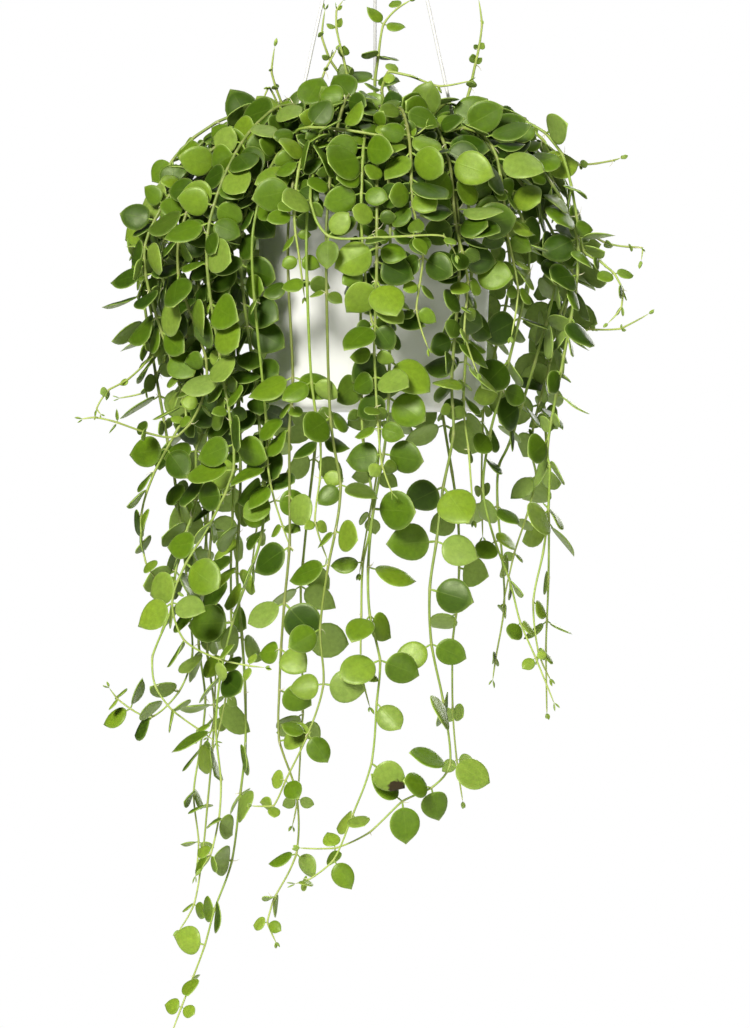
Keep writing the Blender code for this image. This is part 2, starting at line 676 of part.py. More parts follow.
def draw_leaf(stem, order, side, attempt):
    """One leaf of a pair: its root, axis, normal and size, seeded by where it grows."""
    samples = stem["samples"]
    index = stem["joints"][order]
    place = samples[index]
    along = tangent_at(samples, index)
    light = light_at(place)
    flat = along.cross(light)
    if flat.length < 0.15:
        flat = along.cross(Vector((0.3, 0.5, 1.0)))
    flat.normalize()
    pair = random.Random(f"{stem['name']} pair {order}")
    swing = pair.uniform(-PAIR_SWING, PAIR_SWING)
    if order % 2:
        swing += PAIR_CROSS * pair.choice((-1, 1))
    facing = turn_about(flat, along, swing)
    draw = random.Random(f"{stem['name']} leaf {order} {side}")
    forward = draw.uniform(*LEAF_FORWARD)
    droop = draw.uniform(*LEAF_DROOP)
    roll = draw.uniform(-LEAF_ROLL, LEAF_ROLL)
    length = leaf_size(stem, order) * draw.uniform(*LENGTH_SPREAD)
    width = length * LEAF_WIDTH / LEAF_LENGTH * draw.uniform(*WIDTH_SPREAD)
    bend = draw.uniform(*BLADE_BEND)
    twist = 0.0
    for again in range(attempt):
        twist = draw.uniform(-RETRY_TWIST, RETRY_TWIST) * min(again + 2, 5)
        forward = draw.uniform(*RETRY_FORWARD)
        droop = draw.uniform(*RETRY_DROOP)
        roll = draw.uniform(-RETRY_ROLL, RETRY_ROLL)
    shrink = 1.0 - RETRY_SHRINK * attempt
    facing = turn_about(facing, along, 180 * side)
    axis = turn_about(facing, along, twist) + along * forward - Vector((0, 0, droop))
    axis.normalize()
    normal = (light - axis * light.dot(axis)).normalized()
    normal = turn_about(normal, axis, roll)
    return {"stem": stem["name"], "order": order, "side": side, "place": place, "along": along,
            "facing": facing, "axis": axis, "normal": normal, "length": length * shrink,
            "width": width * shrink, "bend": bend}


def blade_steps(leaf):
    return BROAD_BLADE if leaf["length"] > BROAD_FROM else BUD_BLADE


def blade_section(leaf, share, half_width, extra):
    """The four corners across a blade at a share of its length."""
    curve = leaf["bend"] * max(0.0, share - 0.2) ** 2 * leaf["length"]
    middle = leaf["place"] + leaf["axis"] * leaf["length"] * share + leaf["normal"] * curve
    across = leaf["normal"].cross(leaf["axis"]) * (half_width * leaf["width"] / 2 + extra)
    up = leaf["normal"] * (LEAF_THICKNESS / 2 + extra)
    return [middle + across + up, middle - across + up, middle - across - up, middle + across - up]


def blade_guard(leaf):
    """A slightly swollen copy of a blade, to test for room."""
    rings = [blade_section(leaf, 0.12, 0.12, LEAF_MARGIN)]
    rings += [blade_section(leaf, share, half, LEAF_MARGIN) for share, half in blade_steps(leaf)]
    rings.append(blade_section(leaf, 1.03, 0.04, LEAF_MARGIN))
    return guard_of(rings)


def guard_of(rings):
    verts = [corner for ring in rings for corner in ring]
    faces = [(0, 1, 2, 3), tuple(len(verts) - 4 + k for k in range(4))]
    for ring in range(len(rings) - 1):
        low = 4 * ring
        for k in range(4):
            faces.append((low + k, low + (k + 1) % 4, low + 4 + (k + 1) % 4, low + 4 + k))
    middle = sum(verts, Vector()) / len(verts)
    radius = max((vert - middle).length for vert in verts)
    return middle, radius, BVHTree.FromPolygons(verts, faces)


def stem_ring(place, along, facing, radius):
    """Four corners round a stem, with one side square on to a direction."""
    across = along.cross(facing).normalized()
    facing = across.cross(along)
    size = radius / math.sqrt(2)
    return [place + facing * size * a + across * size * b
            for a, b in ((1, -1), (1, 1), (-1, 1), (-1, -1))]


def corner_samples(samples, keep, tolerance):
    """The samples that a coarse stem needs to stay close to its curve."""
    keep = sorted(keep)
    result = []
    for first, last in zip(keep, keep[1:]):
        result.append(first)
        stack = [(first, last)]
        extra = []
        while stack:
            low, high = stack.pop()
            base = samples[low]
            line = (samples[high] - base).normalized()
            worst, worst_gap = None, tolerance
            for index in range(low + 1, high):
                offset = samples[index] - base
                gap = (offset - line * offset.dot(line)).length
                if gap > worst_gap:
                    worst, worst_gap = index, gap
            if worst is not None:
                extra.append(worst)
                stack += [(low, worst), (worst, high)]
        result += sorted(extra)
    result.append(keep[-1])
    return result


def stem_rings(stem, leaves):
    """The stem's rings from root to tip; a joint with leaves gets one each side of it."""
    samples = stem["samples"]
    with_leaves = {leaf["order"]: leaf["facing"] for leaf in leaves}
    joint_facing = {stem["joints"][order]: facing for order, facing in with_leaves.items()}
    keep = {0, stem["loose_from"], len(samples) - 1} | set(joint_facing)
    rings = []
    facing = Vector((1, 0, 0))
    for index in corner_samples(samples, keep, COARSE_STEM):
        along = tangent_at(samples, index) if index > stem["loose_from"] else Vector((0, 0, 1))
        age = max(0.0, 1 - index / len(samples))
        radius = mix(STEM_TIP_RADIUS, STEM_RADIUS, min(1.0, 2.5 * age))
        if index in joint_facing:
            facing = joint_facing[index]
            order = next(o for o in with_leaves if stem["joints"][o] == index)
            for offset in (-1.1, 1.1):
                corners = stem_ring(samples[index] + along * offset, along, facing, radius)
                rings.append((corners, order if offset > 0 else None))
        else:
            facing = (facing - along * facing.dot(along)).normalized()
            rings.append((stem_ring(samples[index], along, facing, radius), None))
    return rings


def extend(bm, face, corners):
    """Extrudes a four-sided face and sets it on new corners with the least twist."""
    face = bmesh.ops.extrude_discrete_faces(bm, faces=[face])["faces"][0]
    verts = list(face.verts)
    best = min(range(4), key=lambda turn: sum(
        (verts[k].co - corners[(k + turn) % 4]).length_squared for k in range(4)))
    for k in range(4):
        verts[k].co = corners[(k + best) % 4]
    return face


def grow_leaf(bm, face, leaf):
    """Draws a blade out of one side of the stem and closes it in a pointed tip."""
    for share, half in blade_steps(leaf):
        face = extend(bm, face, blade_section(leaf, share, half, 0.0))
    tip = blade_section(leaf, 1.0, 0.0, 0.0)
    face = extend(bm, face, tip)
    verts = list(face.verts)
    pairs = {}
    for k in range(4):
        partner = verts[(k + 1) % 4]
        if (verts[k].co - partner.co).length < 1e-4 and partner not in pairs:
            pairs[verts[k]] = partner
    bmesh.ops.weld_verts(bm, targetmap=pairs)


def build_stem(stem, leaves, group, material):
    """One leafy stem as a single closed solid."""
    bm = bmesh.new()
    rings = stem_rings(stem, leaves)
    bmesh.ops.create_cube(bm, size=1.0)
    order_of = {(True, True): 0, (False, True): 1, (False, False): 2, (True, False): 3}
    top = max(bm.faces, key=lambda face: face.calc_center_median().z)
    for vert in bm.verts:
        ring = rings[1 if vert.co.z > 0 else 0][0]
        vert.co = ring[order_of[(vert.co.x > 0, vert.co.y > 0)]]
    walls = {}
    for corners, order in rings[2:]:
        top = extend(bm, top, corners)
        if order is not None:
            walls[order] = [face for edge in top.edges for face in edge.link_faces
                            if face is not top]
    bm.normal_update()
    for leaf in leaves:
        face = max(walls[leaf["order"]],
                   key=lambda wall: wall.normal.dot(leaf["facing"]) if wall.is_valid else -9)
        grow_leaf(bm, face, leaf)
    for vert in bm.verts:
        vert.co = at(*vert.co)
    bmesh.ops.recalc_face_normals(bm, faces=bm.faces[:])
    mesh = bpy.data.meshes.new(stem["name"])
    bm.to_mesh(mesh)
    bm.free()
    return add_part(stem["name"], mesh, group, material)


def solid_guards(parts):
    """Room tests against the pot and what hangs it."""
    graph = bpy.context.evaluated_depsgraph_get()
    guards = []
    for part in parts:
        mesh = part.evaluated_get(graph).to_mesh()
        verts = [vert.co / MM + Vector((0, 0, HANG_HEIGHT)) for vert in mesh.vertices]
        faces = [tuple(face.vertices) for face in mesh.polygons]
        guards.append(BVHTree.FromPolygons(verts, faces))
        part.evaluated_get(graph).to_mesh_clear()
    return guards


def wanted_leaves(stem, number):
    """Which leaf pairs the solid carries: a share of them, even along the stem."""
    total = len(stem["joints"])
    wanted = []
    for order in range(total):
        on_arc = order < stem["arc_joints"]
        share = ARC_SHARE if on_arc else HANGING_SHARE
        if (order + number) % share == 0 or order == total - 1:
            wanted.append(order)
    return wanted


def place_leaves(stems, guards):
    """Finds a free place for every wanted leaf, tips first, or leaves it off."""
    taken = []
    for stem in stems:
        rings = stem_rings(stem, [])
        for index, ((first, _), (second, _)) in enumerate(zip(rings, rings[1:])):
            middle = sum(first, Vector()) / 4
            end = sum(second, Vector()) / 4
            swollen = [[c + (c - m).normalized() * LEAF_MARGIN for c in ring]
                       for ring, m in ((first, middle), (second, end))]
            taken.append((*guard_of(swollen), stem["name"], (middle, end)))
    leaves = {stem["name"]: [] for stem in stems}
    queue = []
    for number, stem in enumerate(stems):
        for order in wanted_leaves(stem, number):
            queue.append((len(stem["joints"]) - order, stem, order))
    queue.sort(key=lambda entry: entry[0])
    dropped = 0
    for _, stem, order in queue:
        for side in (0, 1):
            chance = random.Random(f"{stem['name']} grows {order} {side}").random()
            if chance < MISSING_LEAVES and order < len(stem["joints"]) - 2:
                continue
            for attempt in range(LEAF_TRIES):
                leaf = draw_leaf(stem, order, side, attempt)
                middle, radius, tree = blade_guard(leaf)
                if fits(leaf, middle, radius, tree, taken, guards):
                    leaves[stem["name"]].append(leaf)
                    taken.append((middle, radius, tree, stem["name"], None))
                    break
            else:
                dropped += 1
    print("leaves placed:", sum(len(row) for row in leaves.values()), "left off:", dropped)
    return leaves


def fits(leaf, middle, radius, tree, taken, guards):
    """True when a blade clears the pot, the wires, the other blades and all stems."""
    for other_middle, other_radius, other, owner, ends in taken:
        if (other_middle - middle).length > radius + other_radius:
            continue
        if owner == leaf["stem"] and ends and near_line(leaf["place"], *ends) < 1.5:
            continue
        if tree.overlap(other):
            return False
    return not any(tree.overlap(guard) for guard in guards)


def near_line(point, start, end):
    line = end - start
    share = min(1.0, max(0.0, (point - start).dot(line) / line.length_squared))
    return (point - start - line * share).length


def main():
    clear_scene()
    group = new_collection("potted_dischidia")
    cutters = {name: new_collection(f"{name}_cutters") for name in ("pot", "soil", "hub")}
    materials = {
        "pot": make_material("white satin plastic", POT_WHITE, 0.45),
        "wire": make_material("white coated wire", WIRE_WHITE, 0.4, 0.2),
        "soil": make_material("potting mix", SOIL_BROWN, 0.95),
        "leaf": make_material("leaf green", LEAF_GREEN, 0.5),
    }
    stems = plan_stems()
    spread_roots(stems)
    for stem in stems:
        trace_stem(stem)
    part_stems(stems, [hanger_wire_points(bearing)[1:5] for bearing in WIRE_ANGLES])
    pot = make_pot(group, cutters["pot"], materials["pot"])
    soil = make_soil(group, cutters["soil"], materials["soil"],
                     [stem["root"] for stem in stems])
    make_hanger(group, cutters["hub"], materials)
    wires = [part for part in group.objects if part.name.startswith("hanger_wire")]
    leaves = place_leaves(stems, solid_guards([pot, soil] + wires))
    for stem in stems:
        build_stem(stem, leaves[stem["name"]], group, materials["leaf"])


main()
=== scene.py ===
import itertools
import math
import random

import bmesh
import bpy
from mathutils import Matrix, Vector
from mathutils.bvhtree import BVHTree
from mathutils.kdtree import KDTree


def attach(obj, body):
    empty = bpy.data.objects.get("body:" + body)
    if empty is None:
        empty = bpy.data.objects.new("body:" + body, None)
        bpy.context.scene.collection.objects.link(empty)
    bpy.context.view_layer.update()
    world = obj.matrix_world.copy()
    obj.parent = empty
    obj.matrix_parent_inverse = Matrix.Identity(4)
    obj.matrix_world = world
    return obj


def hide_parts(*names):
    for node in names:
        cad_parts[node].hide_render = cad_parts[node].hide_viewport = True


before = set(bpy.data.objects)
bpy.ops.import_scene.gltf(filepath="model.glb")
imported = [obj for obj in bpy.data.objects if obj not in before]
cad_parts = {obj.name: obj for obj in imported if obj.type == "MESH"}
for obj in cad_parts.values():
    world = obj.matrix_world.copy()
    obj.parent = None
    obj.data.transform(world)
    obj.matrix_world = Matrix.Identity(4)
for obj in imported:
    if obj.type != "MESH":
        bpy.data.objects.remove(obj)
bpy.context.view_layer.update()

# A trailing dischidia in a hanging pot. Lengths are in millimetres from the middle of the
# pot's rim, as in the solids, and at() turns them into metres from the hang point.
mm = 0.001
hangHeight = 290.0


# Small helpers

def at(x, y, z):
    return Vector((x, y, z - hangHeight)) * mm


def polar(radius, degrees, z):
    angle = math.radians(degrees)
    return Vector((radius * math.cos(angle), radius * math.sin(angle), z))


def mix(a, b, share):
    return a + (b - a) * share


def turnAbout(vector, axis, degrees):
    angle = math.radians(degrees)
    return vector * math.cos(angle) + axis.cross(vector) * math.sin(angle)


def ramp(value, low, high):
    share = min(1.0, max(0.0, (value - low) / (high - low)))
    return share * share * (3 - 2 * share)


def bearingOf(place):
    return math.degrees(math.atan2(place.y, place.x))


def tangentAt(samples, index):
    ahead = samples[min(index + 1, len(samples) - 1)]
    return (ahead - samples[max(index - 1, 0)]).normalized()


def pointAlong(samples, position):
    low = min(int(position), len(samples) - 2)
    return samples[low].lerp(samples[low + 1], position - low)


def smoothCurve(keys, step):    # Catmull-Rom samples, and the sample number of each key
    samples = [keys[0].copy()]
    marks = [0]
    for index in range(len(keys) - 1):
        before = keys[max(index - 1, 0)]
        start, end = keys[index], keys[index + 1]
        after = keys[min(index + 2, len(keys) - 1)]
        count = max(2, math.ceil((end - start).length / step))
        for number in range(1, count + 1):
            t = number / count
            if index == 0:
                point = start.lerp(end, t)
            else:
                point = 0.5 * (2 * start + (end - before) * t
                               + (2 * before - 5 * start + 4 * end - after) * t * t
                               + (3 * start - before - 3 * end + after) * t * t * t)
            samples.append(point)
        marks.append(len(samples) - 1)
    return samples, marks


# Shader helpers, and the effects that several finishes share

def nodeIn(tree, kind, **settings):
    node = tree.nodes.new(kind)
    for key, value in settings.items():
        setattr(node, key, value)
    return node


def plug(tree, socket, value):    # links another node's output, or sets a number or a colour
    if isinstance(value, bpy.types.NodeSocket):
        tree.links.new(value, socket)
    else:
        socket.default_value = (*value, 1.0) if socket.type == "RGBA" else value


def feed(tree, node, **inputs):    # plugs a node's inputs by name, _ for a space
    for key, value in inputs.items():
        plug(tree, node.inputs[key.replace("_", " ")], value)


def blendColour(tree, share, first, second, mode="MIX"):
    node = nodeIn(tree, "ShaderNodeMix", data_type="RGBA", blend_type=mode)
    for number, value in ((0, share), (6, first), (7, second)):
        plug(tree, node.inputs[number], value)
    return node.outputs[2]


def mathNode(tree, operation, first, second=0.0, third=0.0, clamp=False):
    node = nodeIn(tree, "ShaderNodeMath", operation=operation, use_clamp=clamp)
    for socket, value in zip(node.inputs, (first, second, third)):
        plug(tree, socket, value)
    return node.outputs[0]


def times(tree, first, second):
    return mathNode(tree, "MULTIPLY", first, second)


def between(tree, value, low, high, toLow=0.0, toHigh=1.0):    # a smooth step of a value
    node = nodeIn(tree, "ShaderNodeMapRange", interpolation_type="SMOOTHSTEP")
    feed(tree, node, Value=value, From_Min=low, From_Max=high, To_Min=toLow, To_Max=toHigh)
    return node.outputs[0]


def noiseIn(tree, place, scale, detail):
    node = nodeIn(tree, "ShaderNodeTexNoise")
    feed(tree, node, Vector=place, Scale=scale, Detail=detail)
    return node.outputs["Fac"]


def attributeOf(tree, name):
    return nodeIn(tree, "ShaderNodeAttribute", attribute_name=name).outputs["Fac"]


def ladderOf(tree, share, look, stops):    # a ramp through some colours of a look
    ladder = nodeIn(tree, "ShaderNodeValToRGB")
    while len(ladder.color_ramp.elements) < len(stops):
        ladder.color_ramp.elements.new(0.5)
    for element, (name, position) in zip(ladder.color_ramp.elements, stops):
        element.position = position
        element.color = (*look[name], 1.0)
    plug(tree, ladder.inputs["Fac"], share)
    return ladder.outputs["Color"]


def newGroup(name, inputs, outputs):    # with its inputs to read and its results to plug
    group = bpy.data.node_groups.new(name, "ShaderNodeTree")
    for side, sockets in (("INPUT", inputs), ("OUTPUT", outputs)):
        for label, kind in sockets.items():
            group.interface.new_socket(name=label, in_out=side, socket_type="NodeSocket" + kind)
    return group, nodeIn(group, "NodeGroupInput").outputs, nodeIn(group, "NodeGroupOutput")


def makeMottled():    # two colours mixed by a noise of two sizes
    sockets = {"Vector": "Vector", "First": "Color", "Second": "Color", "Scale": "Float",
               "Contrast": "Float"}
    group, source, result = newGroup("mottled", sockets, {"Color": "Color", "Mask": "Float"})
    broad = noiseIn(group, source["Vector"], source["Scale"], 3.0)
    fine = noiseIn(group, source["Vector"], times(group, source["Scale"], 5.3), 2.0)
    both = mathNode(group, "MULTIPLY_ADD", fine, 0.4, times(group, broad, 0.6))
    pushed = mathNode(group, "MULTIPLY_ADD", mathNode(group, "SUBTRACT", both, 0.5),
                      source["Contrast"], 0.5, clamp=True)
    colour = blendColour(group, pushed, source["First"], source["Second"])
    feed(group, result, Color=colour, Mask=pushed)
    return group


def makeDimpled():    # a height for Bump: soft dents under a fine grain
    sockets = {"Vector": "Vector", "Dents": "Float", "Grain": "Float", "Grain Share": "Float"}
    group, source, result = newGroup("dimpled", sockets, {"Height": "Float"})
    height = nodeIn(group, "ShaderNodeMix", data_type="FLOAT")
    dents = noiseIn(group, source["Vector"], source["Dents"], 1.0)
    grain = noiseIn(group, source["Vector"], source["Grain"], 2.0)
    for number, value in ((0, source["Grain Share"]), (2, dents), (3, grain)):
        plug(group, height.inputs[number], value)
    feed(group, result, Height=height.outputs[0])
    return group


groups = {"mottled": makeMottled(), "dimpled": makeDimpled()}


def newFinish(name):
    material = bpy.data.materials.new(name)
    material.use_nodes = True
    tree = material.node_tree
    shader = tree.nodes["Principled BSDF"]
    place = nodeIn(tree, "ShaderNodeTexCoord").outputs["Object"]
    return material, tree, shader, place


def mottled(tree, place, first, second, scale, contrast):
    node = nodeIn(tree, "ShaderNodeGroup", node_tree=groups["mottled"])
    feed(tree, node, Vector=place, First=first, Second=second, Scale=scale, Contrast=contrast)
    return node.outputs["Color"], node.outputs["Mask"]


# A look holds colours, the scale and contrast of their mottle, the roughness from one to the
# other, and dimples: the scales of dents and grain, the grain's share, strength and depth.
def dress(tree, shader, place, look, colour, mask, ridge=None):
    rough = between(tree, mask, 0.0, 1.0, *look["roughness"])
    feed(tree, shader, Base_Color=colour, Roughness=rough, **look.get("shader", {}))
    dents, grain, share, strength, depth = look["dimples"]
    node = nodeIn(tree, "ShaderNodeGroup", node_tree=groups["dimpled"])
    feed(tree, node, Vector=place, Dents=dents, Grain=grain, Grain_Share=share)
    height = node.outputs["Height"]
    if ridge is not None:
        height = mathNode(tree, "ADD", height, ridge)
    bump = nodeIn(tree, "ShaderNodeBump")
    feed(tree, bump, Strength=strength, Distance=depth, Height=height)
    feed(tree, shader, Normal=bump.outputs["Normal"])


def mottledFinish(name, look):    # a finish of nothing but its mottled colours
    material, tree, shader, place = newFinish(name)
    colour, mask = mottled(tree, place, *look["colours"], *look["mottle"])
    dress(tree, shader, place, look, colour, mask)
    return material


# Building blocks

def meshOf(bm, name):
    mesh = bpy.data.meshes.new(name)
    bm.to_mesh(mesh)
    bm.free()
    return mesh


def addObject(name, data):
    item = bpy.data.objects.new(name, data)
    bpy.context.scene.collection.objects.link(item)
    return item


def finishPiece(name, bm, finishNames, nodes=(), smoothing=0):
    bmesh.ops.recalc_face_normals(bm, faces=bm.faces[:])
    piece = addObject(name, meshOf(bm, name))
    for finish in finishNames:
        piece.data.materials.append(finishes[finish])
    polygons = piece.data.polygons
    polygons.foreach_set("use_smooth", [True] * len(polygons))
    if smoothing:
        rounder = piece.modifiers.new("rounder", "SUBSURF")
        rounder.levels = smoothing
        rounder.render_levels = smoothing
    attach(piece, "root")
    if nodes:
        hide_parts(*nodes)


def growTube(bm, path, radii, sides):    # a closed tube along a path; returns its rings
    made = bmesh.ops.create_cone(bm, cap_ends=True, segments=sides, radius1=1.0, radius2=1.0,
                                 depth=2.0)["verts"]
    angleOf = {vert: math.atan2(vert.co.y, vert.co.x) for vert in made}
    end = [vert for vert in made if vert.co.z > 0]
    rings = [[vert for vert in made if vert.co.z < 0], end]
    face = next(face for face in end[0].link_faces if all(vert in end for vert in face.verts))
    for _ in path[2:]:
        face = bmesh.ops.extrude_discrete_faces(bm, faces=[face])["faces"][0]
        ring = list(face.verts)
        fresh = {}
        for vert in ring:
            below = next(edge.other_vert(vert) for edge in vert.link_edges
                         if edge.other_vert(vert) in angleOf)
            fresh[vert] = angleOf[below]
        angleOf.update(fresh)
        rings.append(ring)
    right = Vector((0.6, 0.8, 0.02))
    for index, ring in enumerate(rings):
        along = tangentAt(path, index)
        right = (right - along * right.dot(along)).normalized()
        up = along.cross(right)
        for vert in ring:
            turn = angleOf[vert]
            spoke = right * math.cos(turn) + up * math.sin(turn)
            vert.co = path[index] + spoke * radii[index]
    return rings


def toMetres(bm):
    for vert in bm.verts:
        vert.co = at(*vert.co)


def markEdges(bm, degrees):    # keeps corners crisp where faces meet at more than this
    for edge in bm.edges:
        if len(edge.link_faces) == 2:
            edge.smooth = edge.calc_face_angle(0.0) < math.radians(degrees)


def roundCorner(centreR, centreZ, radius, start, end, steps):    # part of a turned profile
    points = []
    for step in range(steps + 1):
        angle = math.radians(mix(start, end, step / steps))
        points.append((centreR + radius * math.cos(angle), centreZ + radius * math.sin(angle)))
    return points


def turnProfile(bm, profile, sides):
    verts = [bm.verts.new((radius, 0, z)) for radius, z in profile]
    edges = [bm.edges.new(pair) for pair in zip(verts, verts[1:])]
    bmesh.ops.spin(bm, geom=verts + edges, axis=(0, 0, 1), cent=(0, 0, 0),
                   angle=math.tau, steps=sides, use_merge=True)
    bmesh.ops.remove_doubles(bm, verts=bm.verts[:], dist=0.001)


# The pot

pot = {
    "height": 132.0,
    "wall": 2.5,
    "floor": 3.0,
    "topRadius": 71.5,
    "baseRadius": 66.0,
    "lipRadius": 75.0,
    "lipDepth": 6.0,
    "lipRound": 1.2,         # the radius of the lip's upper edges
    "lipEdge": 0.6,          # and of its lower edge
    "fillet": 5.0,
    "sides": 96,
    "roundSteps": 5,
    "bandTop": -17.5,        # the shallow step moulded under the wires' holes
    "bandDeep": 0.5,
    "stepHigh": 0.6,         # the height of that step, and of the hollow under the base
    "footRound": 4.0,
    "footRing": 2.5,         # the width of the ring on which the pot can stand
    "drainHoles": 5,
    "drainRadius": 3.5,
    "drainCircle": 40.0,
    "drainTurn": 18,
    "crispFrom": 34,         # degrees between faces from which an edge is crisp
    "dust": (0.50, 0.47, 0.38),
    "dustNoise": (85.0, 5.0),
    "dustFrom": (0.56, 0.74),
    "dustShare": (0.3, 0.06),    # at the base, and from dustRise up
    "dustRise": 26.0,
    "plastic": {
        "colours": ((0.86, 0.86, 0.84), (0.82, 0.82, 0.79)),
        "mottle": (24.0, 1.6),
        "roughness": (0.34, 0.5),
        "dimples": (40.0, 1500.0, 0.25, 0.16, 0.0004),
    },
}


def wallRadius(z):    # the pot's outer radius below its lip
    return mix(pot["topRadius"], pot["baseRadius"], -z / pot["height"])


def plasticFinish(name, look):    # moulded plastic with a little dust
    material, tree, shader, place = newFinish(name)
    clean, mask = mottled(tree, place, *look["colours"], *look["mottle"])
    parts = nodeIn(tree, "ShaderNodeSeparateXYZ")
    plug(tree, parts.inputs[0], place)
    specks = between(tree, noiseIn(tree, place, *pot["dustNoise"]), *pot["dustFrom"])
    base = at(0, 0, -pot["height"]).z
    top = base + pot["dustRise"] * mm
    share = between(tree, parts.outputs["Z"], base, top, *pot["dustShare"])
    dusty = blendColour(tree, times(tree, specks, share), clean, pot["dust"])
    dress(tree, shader, place, look, dusty, mask)
    return material


def potProfile():    # radius and height of each point, from the inside's middle round to below
    base, floor = -pot["height"], -pot["height"] + pot["floor"]
    fillet, steps = pot["fillet"], pot["roundSteps"]
    lip, under = pot["lipRadius"], -pot["lipDepth"]
    upper, lower = pot["lipRound"], pot["lipEdge"]
    band, deep, step = pot["bandTop"], pot["bandDeep"], pot["stepHigh"]
    foot, ring = pot["footRound"], pot["baseRadius"] - deep - pot["footRound"]
    innerLow = wallRadius(floor) - pot["wall"]
    innerTop = pot["topRadius"] - pot["wall"]
    profile = [(0.0, floor), (innerLow * 0.5, floor)]
    profile += roundCorner(innerLow - fillet, floor + fillet, fillet, -90, 0, steps)
    profile += [(innerTop, -upper - 0.5)]
    profile += roundCorner(innerTop + upper, -upper, upper, 180, 90, steps)
    profile += roundCorner(lip - upper, -upper, upper, 90, 0, steps)
    profile += roundCorner(lip - lower, under + lower, lower, 0, -90, 3)
    profile += [(wallRadius(under) + 0.7, under), (wallRadius(under - 0.8), under - 0.8)]
    profile += [(wallRadius(band), band), (wallRadius(band - step) - deep, band - step)]
    for z in (0.6 * base, base + foot + 2):
        profile.append((wallRadius(z) - deep, z))
    profile += roundCorner(ring, base + foot, foot, 0, -90, steps)
    ring -= pot["footRing"]
    profile += [(ring, base), (ring - step, base + step)]
    profile += [(pot["drainCircle"] + 12, base + step), (0.0, base + step)]
    return profile


def holeCutters():    # round cutters for the drain holes and the wires' holes
    cuts = []
    for index in range(pot["drainHoles"]):
        turn = 360 * index / pot["drainHoles"] + pot["drainTurn"]
        place = polar(pot["drainCircle"], turn, -pot["height"])
        cuts.append((place, Vector((0, 0, 8)), pot["drainRadius"], 28))
    for bearing in hanger["wireAngles"]:
        place = polar(wallRadius(hanger["holeZ"]), bearing, hanger["holeZ"])
        cuts.append((place, polar(1, bearing, 0) * 6, hanger["holeRadius"], 20))
    bm = bmesh.new()
    for place, reach, radius, sides in cuts:
        growTube(bm, [place - reach, place + reach], [radius, radius], sides)
    return meshOf(bm, "pot hole cutters")


def makePot():
    bm = bmesh.new()
    turnProfile(bm, potProfile(), pot["sides"])
    bmesh.ops.recalc_face_normals(bm, faces=bm.faces[:])
    blank = addObject("pot blank", meshOf(bm, "pot blank"))
    cutter = addObject("pot cutter", holeCutters())
    cut = blank.modifiers.new("holes", "BOOLEAN")
    cut.operation = "DIFFERENCE"
    cut.object = cutter
    graph = bpy.context.evaluated_depsgraph_get()
    bm = bmesh.new()
    bm.from_mesh(blank.evaluated_get(graph).to_mesh())
    for item in (blank, cutter):
        bpy.data.objects.remove(item)
    toMetres(bm)
    bmesh.ops.remove_doubles(bm, verts=bm.verts[:], dist=0.000002)
    markEdges(bm, pot["crispFrom"])
    finishPiece("hanging_pot", bm, ["pot"], ["pot"])
    print("pot made")


# The potting mix and what lies in it

bitLook = {
    "clearOfRim": 3.5,
    "raised": 0.12,          # how far a bit lies above the mix, times its size
    "tilt": (-0.3, 0.3),
    "flat": (0.3, 0.7),
    "width": 0.62,
    "rough": (0.72, 1.15),
    "worn": (0.6, 0.56, 0.5),
    "mottle": (600.0, 3.0),
    "dimples": (900.0, 3000.0, 0.5, 0.8, 0.0005),
}
soil = {
    "depth": 18.0,
    "dome": 5.0,
    "gap": 0.3,
    "rings": 22,
    "sides": 72,
    "bump": 0.75,
    "peat": {
        "colours": ((0.040, 0.026, 0.016), (0.125, 0.085, 0.052)),
        "mottle": (260.0, 4.0),
        "roughness": (0.98, 0.82),
        "dimples": (420.0, 1700.0, 0.5, 1.0, 0.0012),
    },
    "bark": {
        **bitLook,
        "seed": 11,
        "count": 420,
        "sizes": (1.6, 5.2),
        "colours": ((0.050, 0.028, 0.015), (0.190, 0.115, 0.060)),
        "roughness": (0.75, 0.95),
    },
    "grit": {
        **bitLook,
        "seed": 12,
        "count": 90,
        "sizes": (0.8, 1.7),
        "colours": ((0.52, 0.49, 0.42), (0.80, 0.78, 0.72)),
        "roughness": (0.8, 0.95),
    },
}


def soilHeight(x, y):
    share = math.hypot(x, y) / pot["topRadius"]
    return -soil["depth"] + soil["dome"] * (1 - share * share)


def bitFinish(name, look):    # bark and grit, each bit with its own shade
    material, tree, shader, place = newFinish(name)
    bit = blendColour(tree, attributeOf(tree, "tone"), *look["colours"])
    worn = blendColour(tree, 1.0, bit, look["worn"], "MULTIPLY")
    grained, mask = mottled(tree, place, bit, worn, *look["mottle"])
    dress(tree, shader, place, look, grained, mask)
    return material


def makeSoil():
    bm = bmesh.new()
    floor = -pot["height"] + pot["floor"] + soil["gap"]
    inner = wallRadius(floor) - pot["wall"] - soil["gap"]
    rim = wallRadius(-soil["depth"]) - pot["wall"] - soil["gap"]
    profile = []
    for ring in range(soil["rings"] + 1):
        radius = rim * ring / soil["rings"]
        profile.append((radius, soilHeight(radius, 0)))
    profile += [(inner, floor + pot["fillet"]), (inner - pot["fillet"], floor), (0.0, floor)]
    turnProfile(bm, profile, soil["sides"])
    draw = random.Random(3)
    for vert in bm.verts:
        if 0.5 < vert.co.xy.length < rim - 0.5 and vert.co.z > -soil["depth"] - 1:
            vert.co.z += draw.uniform(-1, 1) * soil["bump"]
    toMetres(bm)
    finishPiece("potting_mix", bm, ["mix"], ["soil"])
    scatterBits("bark_bits", "bark", rim)
    scatterBits("pale_grit", "grit", rim)
    print("potting mix made")


